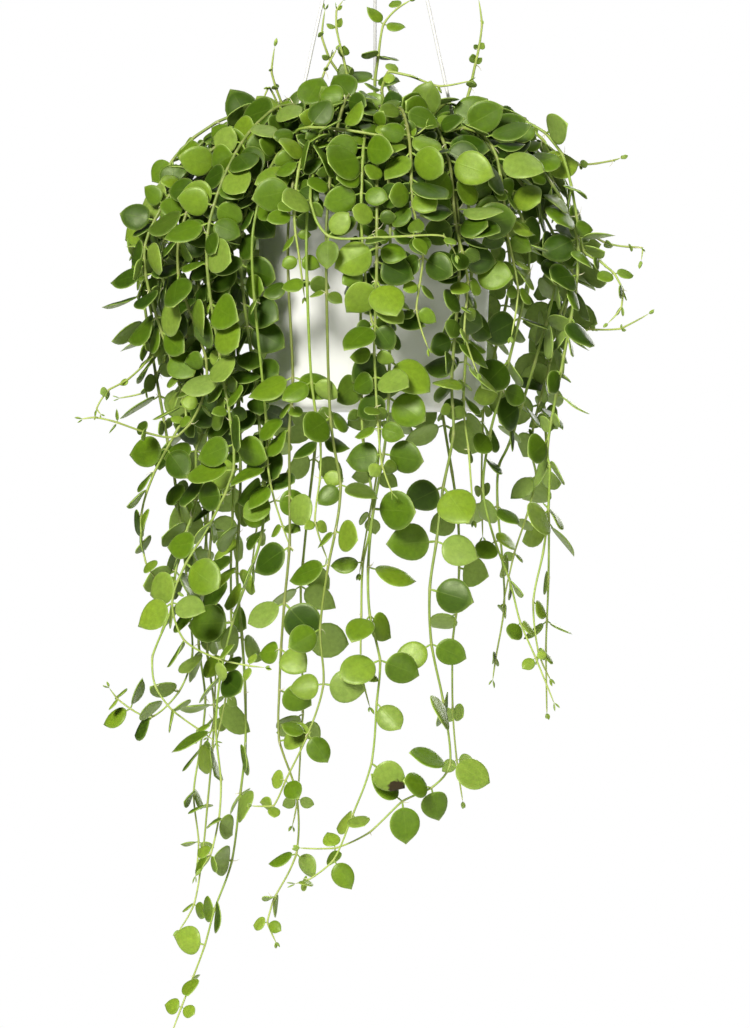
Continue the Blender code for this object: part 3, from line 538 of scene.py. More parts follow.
def scatterBits(name, kind, rim):    # rough lumps bedded in the top
    look = soil[kind]
    draw = random.Random(look["seed"])
    bm = bmesh.new()
    tone = bm.verts.layers.float.new("tone")
    for _ in range(look["count"]):
        made = bmesh.ops.create_icosphere(bm, subdivisions=1, radius=1.0)["verts"]
        reach = (rim - look["clearOfRim"]) * math.sqrt(draw.random())
        place = polar(reach, draw.uniform(0, 360), 0)
        size = mix(*look["sizes"], draw.random() ** 2)
        place.z = soilHeight(place.x, place.y) + look["raised"] * size
        long = polar(1.0, draw.uniform(0, 360), draw.uniform(*look["tilt"])).normalized()
        side = long.cross(Vector((0, 0, 1))).normalized()
        up = side.cross(long) * draw.uniform(*look["flat"])
        side *= look["width"]
        shade = draw.random()
        for vert in made:
            x, y, z = vert.co * draw.uniform(*look["rough"]) * size / 2
            vert.co = place + long * x + side * y + up * z
            vert[tone] = shade
    toMetres(bm)
    finishPiece(name, bm, [kind])


# The hanger

hanger = {
    "wireRadius": 1.0,
    "holeRadius": 1.7,
    "holeZ": -10.0,
    "wireAngles": (90, 210, 330),
    "gap": 0.3,
    "hubZ": 244.0,
    "hubHeight": 12.0,
    "hubRadius": 7.0,
    "hubWireCircle": 4.0,
    "hubSocket": 6.5,
    "hubGrooves": (0.62, 0.38),    # two shallow grip grooves round the plug
    "grooveHalf": 0.7,
    "grooveDeep": 0.35,
    "hubSides": 48,
    "crispFrom": 40,
    "hookSocket": 4.0,
    "hookRadius": 1.6,
    "hookInside": 13.0,
    "hookStart": -72,
    "hookEnd": 212,
    "hookSteps": 44,
    "sides": 14,
    "capSteps": 4,
    "capLength": 0.6,        # of the rounded ends, in radii
    "plastic": {
        **pot["plastic"],
        "colours": ((0.84, 0.84, 0.82), (0.78, 0.78, 0.75)),
        "roughness": (0.3, 0.45),
    },
    "coating": {
        "colours": ((0.80, 0.80, 0.78), (0.72, 0.72, 0.69)),
        "mottle": (180.0, 2.0),
        "roughness": (0.28, 0.42),
        "dimples": (300.0, 1500.0, 0.3, 0.18, 0.0003),
        "shader": {"Coat_Weight": 0.25, "Coat_Roughness": 0.2},
    },
}


def wireLine(bearing):    # from the hub down to the rim, out through the wall and up outside
    holeZ = hanger["holeZ"] + hanger["holeRadius"] - hanger["wireRadius"] - hanger["gap"]
    inner = wallRadius(holeZ) - pot["wall"]
    outer = wallRadius(holeZ)
    circle = hanger["hubWireCircle"]
    profile = [
        (circle, hanger["hubZ"] + hanger["hubSocket"] - hanger["gap"]),
        (circle, hanger["hubZ"] - 1.0),
        (circle + 0.6, hanger["hubZ"] - 4.0),
        (inner - 4.0, holeZ + 7.0),
        (inner - 3.2, holeZ + 3.0),
        (inner - 2.0, holeZ + 0.9),
        (inner, holeZ),
        (outer + 2.6, holeZ),
        (outer + 4.9, holeZ + 0.9),
        (outer + 6.0, holeZ + 3.0),
        (outer + 6.2, holeZ + 8.0),
    ]
    return [polar(radius, bearing, z) for radius, z in profile]


def hookLine():    # from the socket in the hub round to the open tip
    radius = hanger["hookInside"] + hanger["hookRadius"]
    middle = hangHeight - hanger["hookInside"]
    hubTop = hanger["hubZ"] + hanger["hubHeight"]
    neck = ((0, -hanger["hookSocket"]), (0, 3.0), (1.2, 5.2))
    points = [Vector((x, 0, hubTop + z)) for x, z in neck]
    start, end, steps = hanger["hookStart"], hanger["hookEnd"], hanger["hookSteps"]
    for x, z in roundCorner(0.0, middle, radius, start, end, steps):
        points.append(Vector((x, 0, z)))
    return points


def makeHanger():
    for index, bearing in enumerate(hanger["wireAngles"]):
        path, _ = smoothCurve(wireLine(bearing), 3.0)
        bend = len(path) - 34    # the straight part above it needs few points
        kept = [point for number, point in enumerate(path)
                if number < 3 or number > bend or number % 12 == 0]
        node = f"hanger_wire_{index + 1}"
        growWire(f"coated_wire_{index + 1}", kept, hanger["wireRadius"], node)
    growWire("wire_hook", hookLine(), hanger["hookRadius"], "hanger_hook")
    makeHub()
    print("hanger made")


def makeHub():
    low, top, radius = hanger["hubZ"], hanger["hubZ"] + hanger["hubHeight"], hanger["hubRadius"]
    socket = hanger["hookRadius"] + hanger["gap"]
    bottom = top - hanger["hookSocket"] - hanger["gap"]
    half, shallow = hanger["grooveHalf"], radius - hanger["grooveDeep"]
    profile = [(0.0, bottom), (socket, bottom)]
    profile += roundCorner(socket + 0.5, top - 0.5, 0.5, 180, 90, 3)
    profile += roundCorner(radius - 2.0, top - 2.0, 2.0, 90, 0, 5)
    for groove in hanger["hubGrooves"]:
        z = mix(low, top, groove)
        profile += [(radius, z + half), (shallow, z + half / 2), (shallow, z - half / 2),
                    (radius, z - half)]
    profile += roundCorner(radius - 0.8, low + 0.8, 0.8, 0, -90, 4)
    profile += [(0.0, low)]
    bm = bmesh.new()
    turnProfile(bm, profile, hanger["hubSides"])
    toMetres(bm)
    bmesh.ops.recalc_face_normals(bm, faces=bm.faces[:])
    markEdges(bm, hanger["crispFrom"])
    finishPiece("moulded_hub", bm, ["hub"], ["hanger_hub"])


def growWire(name, path, radius, node):    # a wire, its cut ends dipped round in the coating
    start = (path[0] - path[1]).normalized()
    end = (path[-1] - path[-2]).normalized()
    inset, steps = radius * hanger["capLength"], hanger["capSteps"]
    turns = [math.radians(90 * step / steps) for step in range(steps)]
    caps = [(math.sin(turn) * inset, math.cos(turn) * radius) for turn in turns]
    head = [path[0] - start * (inset - out) for out, _ in reversed(caps)]
    tail = [path[-1] - end * (inset - out) for out, _ in caps]
    radii = [size for _, size in reversed(caps)] + [radius] * (len(path) - 2)
    radii += [size for _, size in caps]
    bm = bmesh.new()
    growTube(bm, head + path[1:-1] + tail, radii, hanger["sides"])
    toMetres(bm)
    finishPiece(name, bm, ["wire"], [node])


# The stems' routes, by the rule of the solids

stemRule = {
    "radius": 1.05,
    "tipRadius": 0.6,
    "gap": 5.0,
    "clearOfPot": 4.0,
    "rootGap": 7.0,
    "rootReach": 56.0,
    "rootDepth": 12.0,
    "archShift": 0.95,        # stems that arch higher start nearer the middle
    "spreadRounds": 80,
    "partRounds": 60,
    "arcSpacing": 16.0,       # between leaf joints over the rim
    "wideBelow": -60.0,       # and so much wider lower than this
    "widened": 1.4,
    "sampleStep": 4.0,
    "behindSpacing": 29.0,
    "behindVary": (0.93, 1.07),
    "behindTop": (-124, -100),
    "behindLean": (-0.05, 0.05),
    "coarse": 2.0,            # how far the solids' stems stray from their curve
    "solidArcShare": 6,       # the solids carry one leaf pair in this many over the rim
    "solidHangingShare": 3,
    "bareInFront": ("strand_left_10", "strand_middle_1", "strand_middle_2",
                    "strand_middle_3", "strand_middle_4"),
    "bareBelow": -18.0,
    "crowdedTo": {"strand_left": -250.0, "strand_right": -130.0, "strand_back": -160.0},
    "crowdedGap": 20.0,
    "sides": 5,
    "swell": 1.044,           # what the smoothing takes off a five-sided tube
    "knot": 1.3,              # how much thicker a leaf joint is
    "knotReach": 1.7,
}

# Stems that hang: depth of the top and of the tip (y), how far they bulge over the rim and
# arch above it, the size of their leaves, and their leaf joints below the rim (x, z).
hangingStems = {
    "strand_left_1": (-40, -34, 14, 40, 1.0, [
        (-82, -93), (-81, -123), (-80, -150), (-80, -186), (-82, -228), (-79, -267),
        (-77, -300), (-77, -333), (-80, -360), (-85, -400), (-95, -428), (-101, -450),
        (-108, -469), (-115, -487), (-121, -503)]),
    "strand_left_2": (-62, -56, 10, 30, 1.0, [
        (-71, -114), (-68, -144), (-65, -174), (-67, -207), (-77, -237), (-84, -258),
        (-91, -289), (-94, -321), (-91, -351), (-92, -373), (-97, -395), (-103, -404)]),
    "strand_left_3": (-75, -82, 12, 48, 1.0, [
        (-89, -114), (-85, -139), (-83, -168), (-97, -200), (-111, -223), (-119, -246),
        (-112, -268), (-92, -279), (-74, -283), (-64, -284)]),
    "strand_left_4": (-30, -40, 24, 34, 0.9, [
        (-113, -129), (-117, -143), (-131, -169), (-139, -195), (-136, -223),
        (-126, -236), (-117, -241)]),
    "strand_left_5": (-8, -22, 24, 26, 1.0, [
        (-103, -132), (-107, -156), (-107, -186), (-113, -205), (-119, -228),
        (-122, -252), (-133, -279), (-131, -297), (-121, -311), (-106, -322), (-95, -330)]),
    "strand_left_6": (18, 4, 16, 44, 1.0, [
        (-125, -150), (-122, -165), (-119, -186), (-115, -216), (-112, -249),
        (-110, -279), (-118, -301), (-134, -316), (-147, -311), (-155, -305), (-160, -298)]),
    "strand_left_7": (42, 40, 20, 30, 1.0, [
        (-101, -144), (-101, -180), (-103, -216), (-106, -246), (-107, -273),
        (-103, -306), (-106, -336), (-110, -364), (-107, -393), (-109, -414)]),
    "strand_left_8": (14, 20, 28, 54, 1.0, [
        (-95, -150), (-97, -186), (-100, -222), (-102, -249), (-101, -279), (-97, -309),
        (-98, -336), (-101, -369), (-104, -399), (-109, -429), (-118, -445)]),
    "strand_left_9": (-18, -12, 20, 22, 0.9, [
        (-86, -156), (-85, -192), (-86, -222), (-86, -252), (-86, -279), (-89, -303),
        (-95, -331)]),
    "strand_left_10": (-74, -82, 12, 24, 1.1, [
        (-64, -138), (-63, -165), (-59, -186), (-50, -213)]),
    "strand_left_11": (-48, -62, 18, 20, 0.55, [
        (-100, -102), (-103, -129), (-117, -148), (-135, -146), (-152, -140),
        (-165, -137), (-173, -138)]),
    "strand_middle_1": (-92, -84, 6, 34, 1.0, [
        (-48, -114), (-50, -144), (-50, -183), (-50, -213), (-53, -246), (-55, -273),
        (-56, -297), (-56, -327), (-46, -357), (-46, -393), (-59, -419), (-63, -433),
        (-58, -445)]),
    "strand_middle_2": (-103, -100, 8, 42, 0.85, [
        (-37, -117), (-32, -150), (-32, -173), (-35, -198), (-28, -220)]),
    "strand_middle_3": (-110, -104, 10, 52, 0.9, [
        (-26, -138), (-20, -177), (-23, -204), (-27, -223), (-32, -261), (-30, -293),
        (-39, -322), (-52, -349), (-59, -364), (-72, -364)]),
    "strand_middle_4": (-97, -92, 6, 26, 1.0, [
        (-8, -114), (-7, -150), (-1, -191), (-7, -222), (-8, -253), (-8, -285), (-3, -307)]),
    "strand_middle_5": (-112, -116, 10, 36, 1.0, [
        (1, -114), (2, -144), (4, -165), (10, -182)]),
    "strand_middle_6": (-104, -112, 10, 46, 1.0, [
        (8, -126), (5, -159), (-1, -192), (-4, -225), (-3, -253), (3, -279), (1, -304),
        (-2, -339), (-13, -369), (-24, -395), (-39, -407), (-47, -409)]),
    "strand_right_1": (-84, -96, 10, 40, 1.05, [
        (45, -114), (46, -147), (40, -178), (36, -210), (32, -238), (33, -270),
        (40, -304), (44, -340), (33, -354), (16, -362), (-3, -380), (-23, -389), (-44, -389)]),
    "strand_right_2": (-72, -76, 8, 28, 1.0, [(52, -126), (55, -156), (58, -198)]),
    "strand_right_3": (-44, -50, 18, 50, 0.8, [
        (75, -120), (68, -147), (64, -180), (71, -210), (80, -234), (86, -258),
        (95, -279), (106, -306)]),
    "strand_right_4": (-20, -28, 26, 24, 0.8, [
        (83, -144), (74, -165), (73, -189), (76, -222), (77, -250), (72, -279), (70, -293)]),
    "strand_right_5": (16, 8, 24, 42, 0.9, [
        (95, -144), (97, -171), (91, -196), (84, -217), (77, -248)]),
    "strand_right_6": (-30, -38, 18, 32, 1.0, [
        (103, -150), (104, -165), (103, -192), (100, -217), (94, -246), (97, -276),
        (104, -292)]),
    "tendril_right_1": (-14, 6, 0, 38, 0.3, [(102, 19), (122, 15), (142, 18), (148, 20)]),
    "tendril_right_2": (20, 8, 0, 50, 0.35, [
        (120, -15), (138, -30), (153, -33), (161, -34), (160, -42)]),
    "tendril_right_3": (-30, -44, 0, 44, 0.6, [
        (124, -37), (133, -43), (142, -51), (147, -61), (146, -72), (138, -81)]),
    "tendril_right_4": (10, -10, 8, 34, 0.35, [
        (110, -82), (129, -83), (147, -83), (164, -74)]),
    "tendril_left_1": (-6, -30, 6, 46, 0.4, [
        (-132, -93), (-147, -113), (-159, -120), (-166, -131), (-163, -135)]),
    "tendril_left_2": (30, 26, 6, 38, 0.55, [
        (-126, -96), (-132, -109), (-138, -120), (-155, -124)]),
    "shoot_front_1": (-106, -108, 6, 20, 1.1, [(-47, -20), (-44, -45), (-41, -68)]),
    "shoot_front_2": (-116, -112, 8, 30, 1.1, [
        (-8, -22), (-6, -52), (-3, -82), (3, -104)]),
    "shoot_front_3": (-118, -112, 8, 44, 1.1, [
        (22, -15), (28, -45), (24, -75), (31, -98)]),
    "shoot_front_4": (-100, -96, 8, 22, 1.1, [
        (47, -25), (54, -58), (52, -88), (60, -112)]),
    "shoot_front_5": (-74, -74, 10, 34, 1.1, [(78, -30), (84, -62), (80, -90)]),
}

# Shoots that rise out of the crown: where each stands in the soil (x, y), the size of its
# leaves, and its leaf joints (x, y, z).
risingStems = {
    "shoot_top_1": ((-38, 2), 0.35, [
        (-46, 0, 24), (-53, -2, 44), (-59, -4, 60), (-62, -6, 71), (-60, -8, 86)]),
    "shoot_top_2": ((-44, 14), 0.35, [
        (-50, 14, 24), (-57, 12, 47), (-64, 8, 62), (-68, 4, 52)]),
    "shoot_top_3": ((-10, 16), 0.4, [
        (-12, 14, 30), (-14, 12, 52), (-18, 10, 66), (-27, 8, 79), (-32, 6, 93), (-30, 4, 109)]),
    "shoot_top_4": ((-4, -6), 0.45, [
        (-8, -8, 28), (-13, -10, 50), (-16, -12, 66), (-19, -13, 79), (-23, -14, 96),
        (-23, -14, 107), (-19, -15, 113)]),
    "shoot_top_5": ((-26, -16), 0.35, [
        (-30, -18, 26), (-34, -20, 54), (-30, -21, 70), (-23, -22, 83)]),
    "shoot_top_6": ((8, 6), 0.75, [
        (4, 2, 24), (0, -2, 48), (0, -5, 66), (2, -7, 80), (5, -8, 99), (14, -10, 109),
        (21, -12, 113)]),
    "shoot_top_7": ((40, 2), 0.35, [
        (46, -2, 26), (53, -5, 48), (57, -6, 61), (60, -8, 75), (62, -9, 84), (64, -10, 99),
        (62, -11, 114)]),
    "shoot_top_8": ((14, -18), 0.5, [
        (10, -24, 30), (4, -28, 58), (8, -32, 69), (22, -35, 66), (38, -37, 60), (56, -38, 63)]),
    "runner_front_1": ((-24, -36), 0.7, [
        (-36, -56, 18), (-46, -78, 30), (-38, -92, 32), (-18, -99, 30), (2, -101, 27),
        (20, -101, 26), (30, -99, 33)]),
    "runner_front_2": ((-6, -42), 0.8, [
        (-20, -70, 28), (-34, -98, 14), (-38, -116, -12), (-27, -124, -33), (0, -128, -34),
        (22, -127, -33), (40, -122, -33), (47, -119, -44)]),
    "shoot_crown_1": ((30, 30), 1.1, [(36, 38, 24), (44, 52, 38), (58, 66, 34), (72, 74, 16)]),
    "shoot_crown_2": ((-22, 34), 1.1, [
        (-26, 42, 26), (-32, 56, 40), (-40, 70, 36), (-50, 84, 20)]),
}

# Stems that hang behind the pot: bearing, reach, drop below the rim, arch and bulge.
stemsBehind = (
    (24, 112, 300, 46, 14),
    (46, 98, 190, 26, 22),
    (66, 108, 360, 52, 14),
    (88, 98, 240, 30, 20),
    (110, 108, 410, 44, 14),
    (132, 98, 215, 24, 22),
    (152, 112, 330, 50, 14),
)


def archOverRim(first, root, arch, bulge):    # the way from the root out to the first joint
    reach = math.hypot(first.x, first.y)
    rootReach = math.hypot(root.x, root.y)
    start = bearingOf(root)
    turn = (bearingOf(first) - start + 180) % 360 - 180
    steps = [    # how far out, the share of the turn, and the height
        (mix(rootReach, reach, 0.2), 0.25, 0.8 * arch),
        (mix(rootReach, reach, 0.5), 0.6, arch),
    ]
    if first.z < -10:
        steps.append((mix(rootReach, reach, 0.85), 0.85, 0.45 * arch + 3))
    if first.z < -45:
        steps.append((reach + 0.7 * bulge, 1.0, -16.0))
    if first.z < -80:
        steps.append((reach + bulge, 1.0, -52.0))
    return [polar(radius, start + share * turn, z) for radius, share, z in steps]


def hangingPoints(places, depthTop, depthTip, wave):
    points = []
    for index, (x, z) in enumerate(places):
        share = index / (len(places) - 1)
        depth = mix(depthTop, depthTip, share) + 2.5 * math.sin(1.7 * index + wave)
        points.append(Vector((x, depth, z)))
    return points


def rootAt(arch, bearing):
    return polar(stemRule["rootReach"] - stemRule["archShift"] * (arch - 20), bearing, 0)


def behindPoints(bearing, reach, drop, order):
    draw = random.Random(100 + order)
    spacing = stemRule["behindSpacing"]
    count = round((drop - 110) / spacing) + 1
    lean = draw.uniform(*stemRule["behindLean"])
    top = draw.uniform(*stemRule["behindTop"])
    points = []
    for index in range(count):
        z = top - spacing * index * draw.uniform(*stemRule["behindVary"])
        wander = bearing + 180 * lean * index / count + 2.2 * math.sin(index * 0.9 + order)
        points.append(polar(reach + 3.5 * math.sin(0.8 * index + 2 * order), wander, z))
    return points


def newStem(name, root, size, points, arch=None, bulge=0):
    return {"name": name, "root": root, "size": size, "points": points, "arch": arch,
            "bulge": bulge}


def planStems():
    stems = []
    for order, (name, spec) in enumerate(hangingStems.items()):
        depthTop, depthTip, bulge, arch, size, places = spec
        points = hangingPoints(places, depthTop, depthTip, order)
        root = rootAt(arch, bearingOf(points[0]))
        stems.append(newStem(name, root, size, points, arch, bulge))
    for order, (bearing, reach, drop, arch, bulge) in enumerate(stemsBehind):
        points = behindPoints(bearing, reach, drop, order)
        root = rootAt(arch, bearing)
        stems.append(newStem(f"strand_back_{order + 1}", root, 1.0, points, arch, bulge))
    for name, (root, size, places) in risingStems.items():
        points = [Vector(place) for place in places]
        stems.append(newStem(name, Vector((*root, 0)), size, points))
    return stems


def spreadRoots(stems):    # moves the roots apart until each has room in the potting mix
    roots = [stem["root"] for stem in stems]
    gap, limit = stemRule["rootGap"], stemRule["rootReach"] + 3
    for _ in range(stemRule["spreadRounds"]):
        for index, root in enumerate(roots):
            for other in roots[:index]:
                apart = root - other
                if apart.length < gap:
                    apart = apart.normalized() if apart.length > 0.01 else Vector((1, 0, 0))
                    push = 0.5 * (gap - (root - other).length)
                    root += apart * push
                    other -= apart * push
            reach = math.hypot(root.x, root.y)
            if reach > limit:
                root *= limit / reach
    for root in roots:
        root.z = soilHeight(root.x, root.y) - stemRule["rootDepth"]


def traceStem(stem):
    root = stem["root"]
    keys = [root, Vector((root.x, root.y, -6.0))]
    if stem["arch"] is not None:
        keys += archOverRim(stem["points"][0], root, stem["arch"], stem["bulge"])
    firstJoint = len(keys)
    keys += stem["points"]
    samples, marks = smoothCurve(keys, stemRule["sampleStep"])
    stem["samples"] = samples
    bare = stem["name"] in stemRule["bareInFront"]
    lowest = stemRule["bareBelow"] if bare else -pot["height"]
    joints = []
    run = 0.5 * stemRule["arcSpacing"]
    for index in range(marks[1] + 1, marks[firstJoint] - 2):
        run += (samples[index] - samples[index - 1]).length
        wide = 1 if samples[index].z > stemRule["wideBelow"] else stemRule["widened"]
        spacing = stemRule["arcSpacing"] * wide
        if run >= spacing and (samples[index].z > lowest or index < marks[3]):
            joints.append(index)
            run = 0.0
    stem["arcJoints"] = len(joints)
    sides = stemRule["crowdedTo"].items()
    crowded = next((z for side, z in sides if side in stem["name"]), 0.0)
    for low, high in zip(marks[firstJoint:], marks[firstJoint + 1:]):
        joints.append(low)
        gap = (samples[high] - samples[low]).length
        if samples[high].z > crowded and gap > stemRule["crowdedGap"]:
            joints.append((low + high) // 2)
    stem["joints"] = joints
    stem["looseFrom"] = marks[1]


def treeOf(stems, shifts, others):    # of where all samples are now, and whose each is
    tree = KDTree(sum(len(row) for row in shifts) + len(others))
    owners = []
    for number, (stem, row) in enumerate(zip(stems, shifts)):
        for sample, shift in zip(stem["samples"], row):
            tree.insert(sample + shift, len(owners))
            owners.append(number)
    for point in others:
        tree.insert(point, len(owners))
        owners.append(-1)
    tree.balance()
    return tree, owners


def partStems(stems, wires):    # pushes the stems apart, and off the pot and the wires
    wirePoints = []
    for points in wires:
        for first, second in zip(points, points[1:]):
            count = max(1, round((second - first).length / stemRule["sampleStep"]))
            wirePoints += [first.lerp(second, number / count) for number in range(count)]
    shifts = [[Vector() for _ in stem["samples"]] for stem in stems]
    limit = pot["lipRadius"] + stemRule["clearOfPot"]
    for _ in range(stemRule["partRounds"]):
        tree, owners = treeOf(stems, shifts, wirePoints)
        for number, (stem, row) in enumerate(zip(stems, shifts)):
            loose = stem["looseFrom"]
            for index in range(loose + 1, len(row)):
                here = stem["samples"][index] + row[index]
                push = Vector()
                for place, found, distance in tree.find_range(here, stemRule["gap"]):
                    if owners[found] != number:
                        apart = here - place
                        if distance < 0.05:
                            apart = Vector((0.3, 1.0 if owners[found] < number else -1.0, 0.1))
                        share = 0.5 if owners[found] >= 0 else 1.0
                        push += apart.normalized() * (stemRule["gap"] - distance) * share
                reach = math.hypot(here.x, here.y)
                outside = here.z < 4 and index > loose + 8
                if outside and here.z > -pot["height"] - 4 and reach < limit:
                    push += Vector((here.x, here.y, 0)).normalized() * (limit - reach)
                row[index] += push * 0.5
            for index in range(loose + 1, len(row)):
                after = row[min(index + 1, len(row) - 1)]
                row[index] = 0.5 * row[index] + 0.25 * (row[index - 1] + after)
    for stem, row in zip(stems, shifts):
        stem["samples"] = [a + b for a, b in zip(stem["samples"], row)]


def stemRadius(stem, index):
    age = max(0.0, 1 - index / len(stem["samples"]))
    return mix(stemRule["tipRadius"], stemRule["radius"], min(1.0, 2.5 * age))


def stemRing(place, along, facing, radius):
    across = along.cross(facing).normalized()
    facing = across.cross(along)
    size = radius / math.sqrt(2)
    return [place + facing * size * a + across * size * b
            for a, b in ((1, -1), (1, 1), (-1, 1), (-1, -1))]


def cornerSamples(samples, keep, tolerance):    # what a faceted stem keeps of its curve
    keep = sorted(keep)
    result = []
    for first, last in zip(keep, keep[1:]):
        result.append(first)
        stack = [(first, last)]
        extra = []
        while stack:
            low, high = stack.pop()
            base = samples[low]
            line = (samples[high] - base).normalized()
            worst, worstGap = None, tolerance
            for index in range(low + 1, high):
                offset = samples[index] - base
                gap = (offset - line * offset.dot(line)).length
                if gap > worstGap:
                    worst, worstGap = index, gap
            if worst is not None:
                extra.append(worst)
                stack += [(low, worst), (worst, high)]
        result += sorted(extra)
    result.append(keep[-1])
    return result


def solidStemRings(stem):
    samples = stem["samples"]
    loose = stem["looseFrom"]
    rings = []
    facing = Vector((1, 0, 0))
    for index in cornerSamples(samples, {0, loose, len(samples) - 1}, stemRule["coarse"]):
        along = tangentAt(samples, index) if index > loose else Vector((0, 0, 1))
        facing = (facing - along * facing.dot(along)).normalized()
        rings.append(stemRing(samples[index], along, facing, stemRadius(stem, index)))
    return rings


# Where the leaves grow

leafRule = {
    "length": 21.5,
    "width": 18.0,
    "thickness": 1.35,
    "solidThickness": 1.0,
    "missing": 0.07,
    "tries": 16,
    "margin": 0.35,
    "broadFrom": 12.5,
    "broadBlade": ((0.34, 0.88), (0.74, 0.84)),
    "budBlade": ((0.55, 1.0),),
    "pairSwing": 22,
    "pairCross": 42,
    "roll": 40,
    "forward": (0.0, 0.65),
    "droop": (-0.1, 0.35),
    "lengthSpread": (0.78, 1.1),
    "widthSpread": (0.88, 1.06),
    "bend": (-0.12, 0.05),
    "retryTwist": 10,
    "retryRoll": 50,
    "retryForward": (-0.2, 0.9),
    "retryDroop": (-0.3, 0.6),
    "retryShrink": 0.03,
    "stalk": 0.14,            # the share of a leaf's length that is its stalk
    "smallBelow": 9.5,        # shorter leaves have a simpler mesh
    "plainBehind": 0.0,       # and so have those further back than this
    "growths": (1.24, 1.18, 1.12, 1.06),    # the largest that finds room is used
    "backmost": 137.0,        # no leaf is added or grown past this
    "domes": ((71.0, 0.0034), (86.0, 0.03)),    # added leaves stay under one of these
    "fillAbove": -142.0,      # higher than this, pairs are added between the joints
    "fillGap": 3,             # samples between two joints that leave room for one more
    "fillFrom": 0.85,         # stems with smaller leaves than this get none
    "thinned": 0.37,          # the share of leaves left out further down
    "thinnedBehind": 0.7,     # and behind the pot
    "around": {"broad": 12, "small": 8},    # points round a leaf's outline
    "swell": {"broad": 1.036, "small": 1.08},    # what the smoothing takes off it
    "flat": 1.22,             # how far out a blade stays flat, times 0.707
    "ovate": (0.02, 0.2),     # how far the widest place sits towards the stalk
    "cup": (-0.3, 0.12),
    "nib": (0.06, 0.2),
    "curl": (-14, 14),
    "ripple": 0.035,
    "frontLean": 0.8,         # how far the crown's added leaves turn to the window
    "foldedBelow": 0.5,       # stems with smaller leaves than this hold them folded
    "spotAt": (9.6, -348.0),  # the one leaf with a brown patch is nearest to this (x, z)
    # Leaves that lie under others toward the light get painted shade in their colour.
    "coverRise": 18.0,        # leaves are covered by those around a point this far outward
    "coverReach": 17.0,
    "coverFull": 3.2,         # by so many at most
}


def leafSize(stem, order):
    left = len(stem["joints"]) - order
    taper = {1: 0.45, 2: 0.66, 3: 0.84}.get(left, 1.0)
    onArc = order < stem["arcJoints"]
    return leafRule["length"] * (1.05 if onArc else stem["size"] * taper)


def lightAt(place):    # leaves face outward beside the pot, and more upward on top of it
    outward = Vector((place.x, place.y, 0))
    side = min(1.0, outward.length / 60)
    top = min(1.0, max(0.0, (place.z + 20) / 60))
    light = outward.normalized() * side * (1 - 0.45 * top)
    light.z = 0.45 + 0.4 * top
    return light.normalized()


def drawLeaf(stem, order, side, attempt, lean):
    samples = stem["samples"]
    index = stem["joints"][order]
    place = samples[index]
    along = tangentAt(samples, index)
    light = lightAt(place)
    if lean:
        light.y -= lean * ramp(place.z, -30.0, 30.0)
        light.normalize()
    flat = along.cross(light)
    if flat.length < 0.15:
        flat = along.cross(Vector((0.3, 0.5, 1.0)))
    flat.normalize()
    pair = random.Random(f"{stem['name']} pair {order}")
    swing = pair.uniform(-leafRule["pairSwing"], leafRule["pairSwing"])
    if order % 2:
        swing += leafRule["pairCross"] * pair.choice((-1, 1))
    facing = turnAbout(flat, along, swing)
    draw = random.Random(f"{stem['name']} leaf {order} {side}")
    forward = draw.uniform(*leafRule["forward"])
    droop = draw.uniform(*leafRule["droop"])
    roll = draw.uniform(-leafRule["roll"], leafRule["roll"])
    length = leafSize(stem, order) * draw.uniform(*leafRule["lengthSpread"])
    width = length * leafRule["width"] / leafRule["length"]
    width = width * draw.uniform(*leafRule["widthSpread"])
    bend = draw.uniform(*leafRule["bend"])
    twist = 0.0
    for again in range(attempt):
        twist = draw.uniform(-leafRule["retryTwist"], leafRule["retryTwist"]) * min(again + 2, 5)
        forward = draw.uniform(*leafRule["retryForward"])
        droop = draw.uniform(*leafRule["retryDroop"])
        roll = draw.uniform(-leafRule["retryRoll"], leafRule["retryRoll"])
    shrink = 1.0 - leafRule["retryShrink"] * attempt
    facing = turnAbout(facing, along, 180 * side)
    axis = turnAbout(facing, along, twist) + along * forward - Vector((0, 0, droop))
    axis.normalize()
    normal = (light - axis * light.dot(axis)).normalized()
    normal = turnAbout(normal, axis, roll)
    return {"stem": stem["name"], "order": order, "side": side, "place": place, "along": along,
            "facing": facing, "axis": axis, "normal": normal, "length": length * shrink,
            "width": width * shrink, "bend": bend}


def bladeSection(leaf, share, halfWidth, extra):
    curve = leaf["bend"] * max(0.0, share - 0.2) ** 2 * leaf["length"]
    middle = leaf["place"] + leaf["axis"] * leaf["length"] * share + leaf["normal"] * curve
    across = leaf["normal"].cross(leaf["axis"]) * (halfWidth * leaf["width"] / 2 + extra)
    up = leaf["normal"] * (leafRule["solidThickness"] / 2 + extra)
    return [middle + across + up, middle - across + up, middle - across - up, middle + across - up]


def bladeGuard(leaf):    # a slightly swollen copy of the blade, to test for room
    steps = leafRule["broadBlade" if leaf["length"] > leafRule["broadFrom"] else "budBlade"]
    margin = leafRule["margin"]
    rings = [bladeSection(leaf, 0.12, 0.12, margin)]
    rings += [bladeSection(leaf, share, half, margin) for share, half in steps]
    rings.append(bladeSection(leaf, 1.03, 0.04, margin))
    return guardOf(rings)


def guardOf(rings):
    verts = [corner for ring in rings for corner in ring]
    faces = [(0, 1, 2, 3), tuple(len(verts) - 4 + k for k in range(4))]
    for ring in range(len(rings) - 1):
        low = 4 * ring
        for k in range(4):
            faces.append((low + k, low + (k + 1) % 4, low + 4 + (k + 1) % 4, low + 4 + k))
    middle = sum(verts, Vector()) / len(verts)
    radius = max((vert - middle).length for vert in verts)
    return middle, radius, BVHTree.FromPolygons(verts, faces)


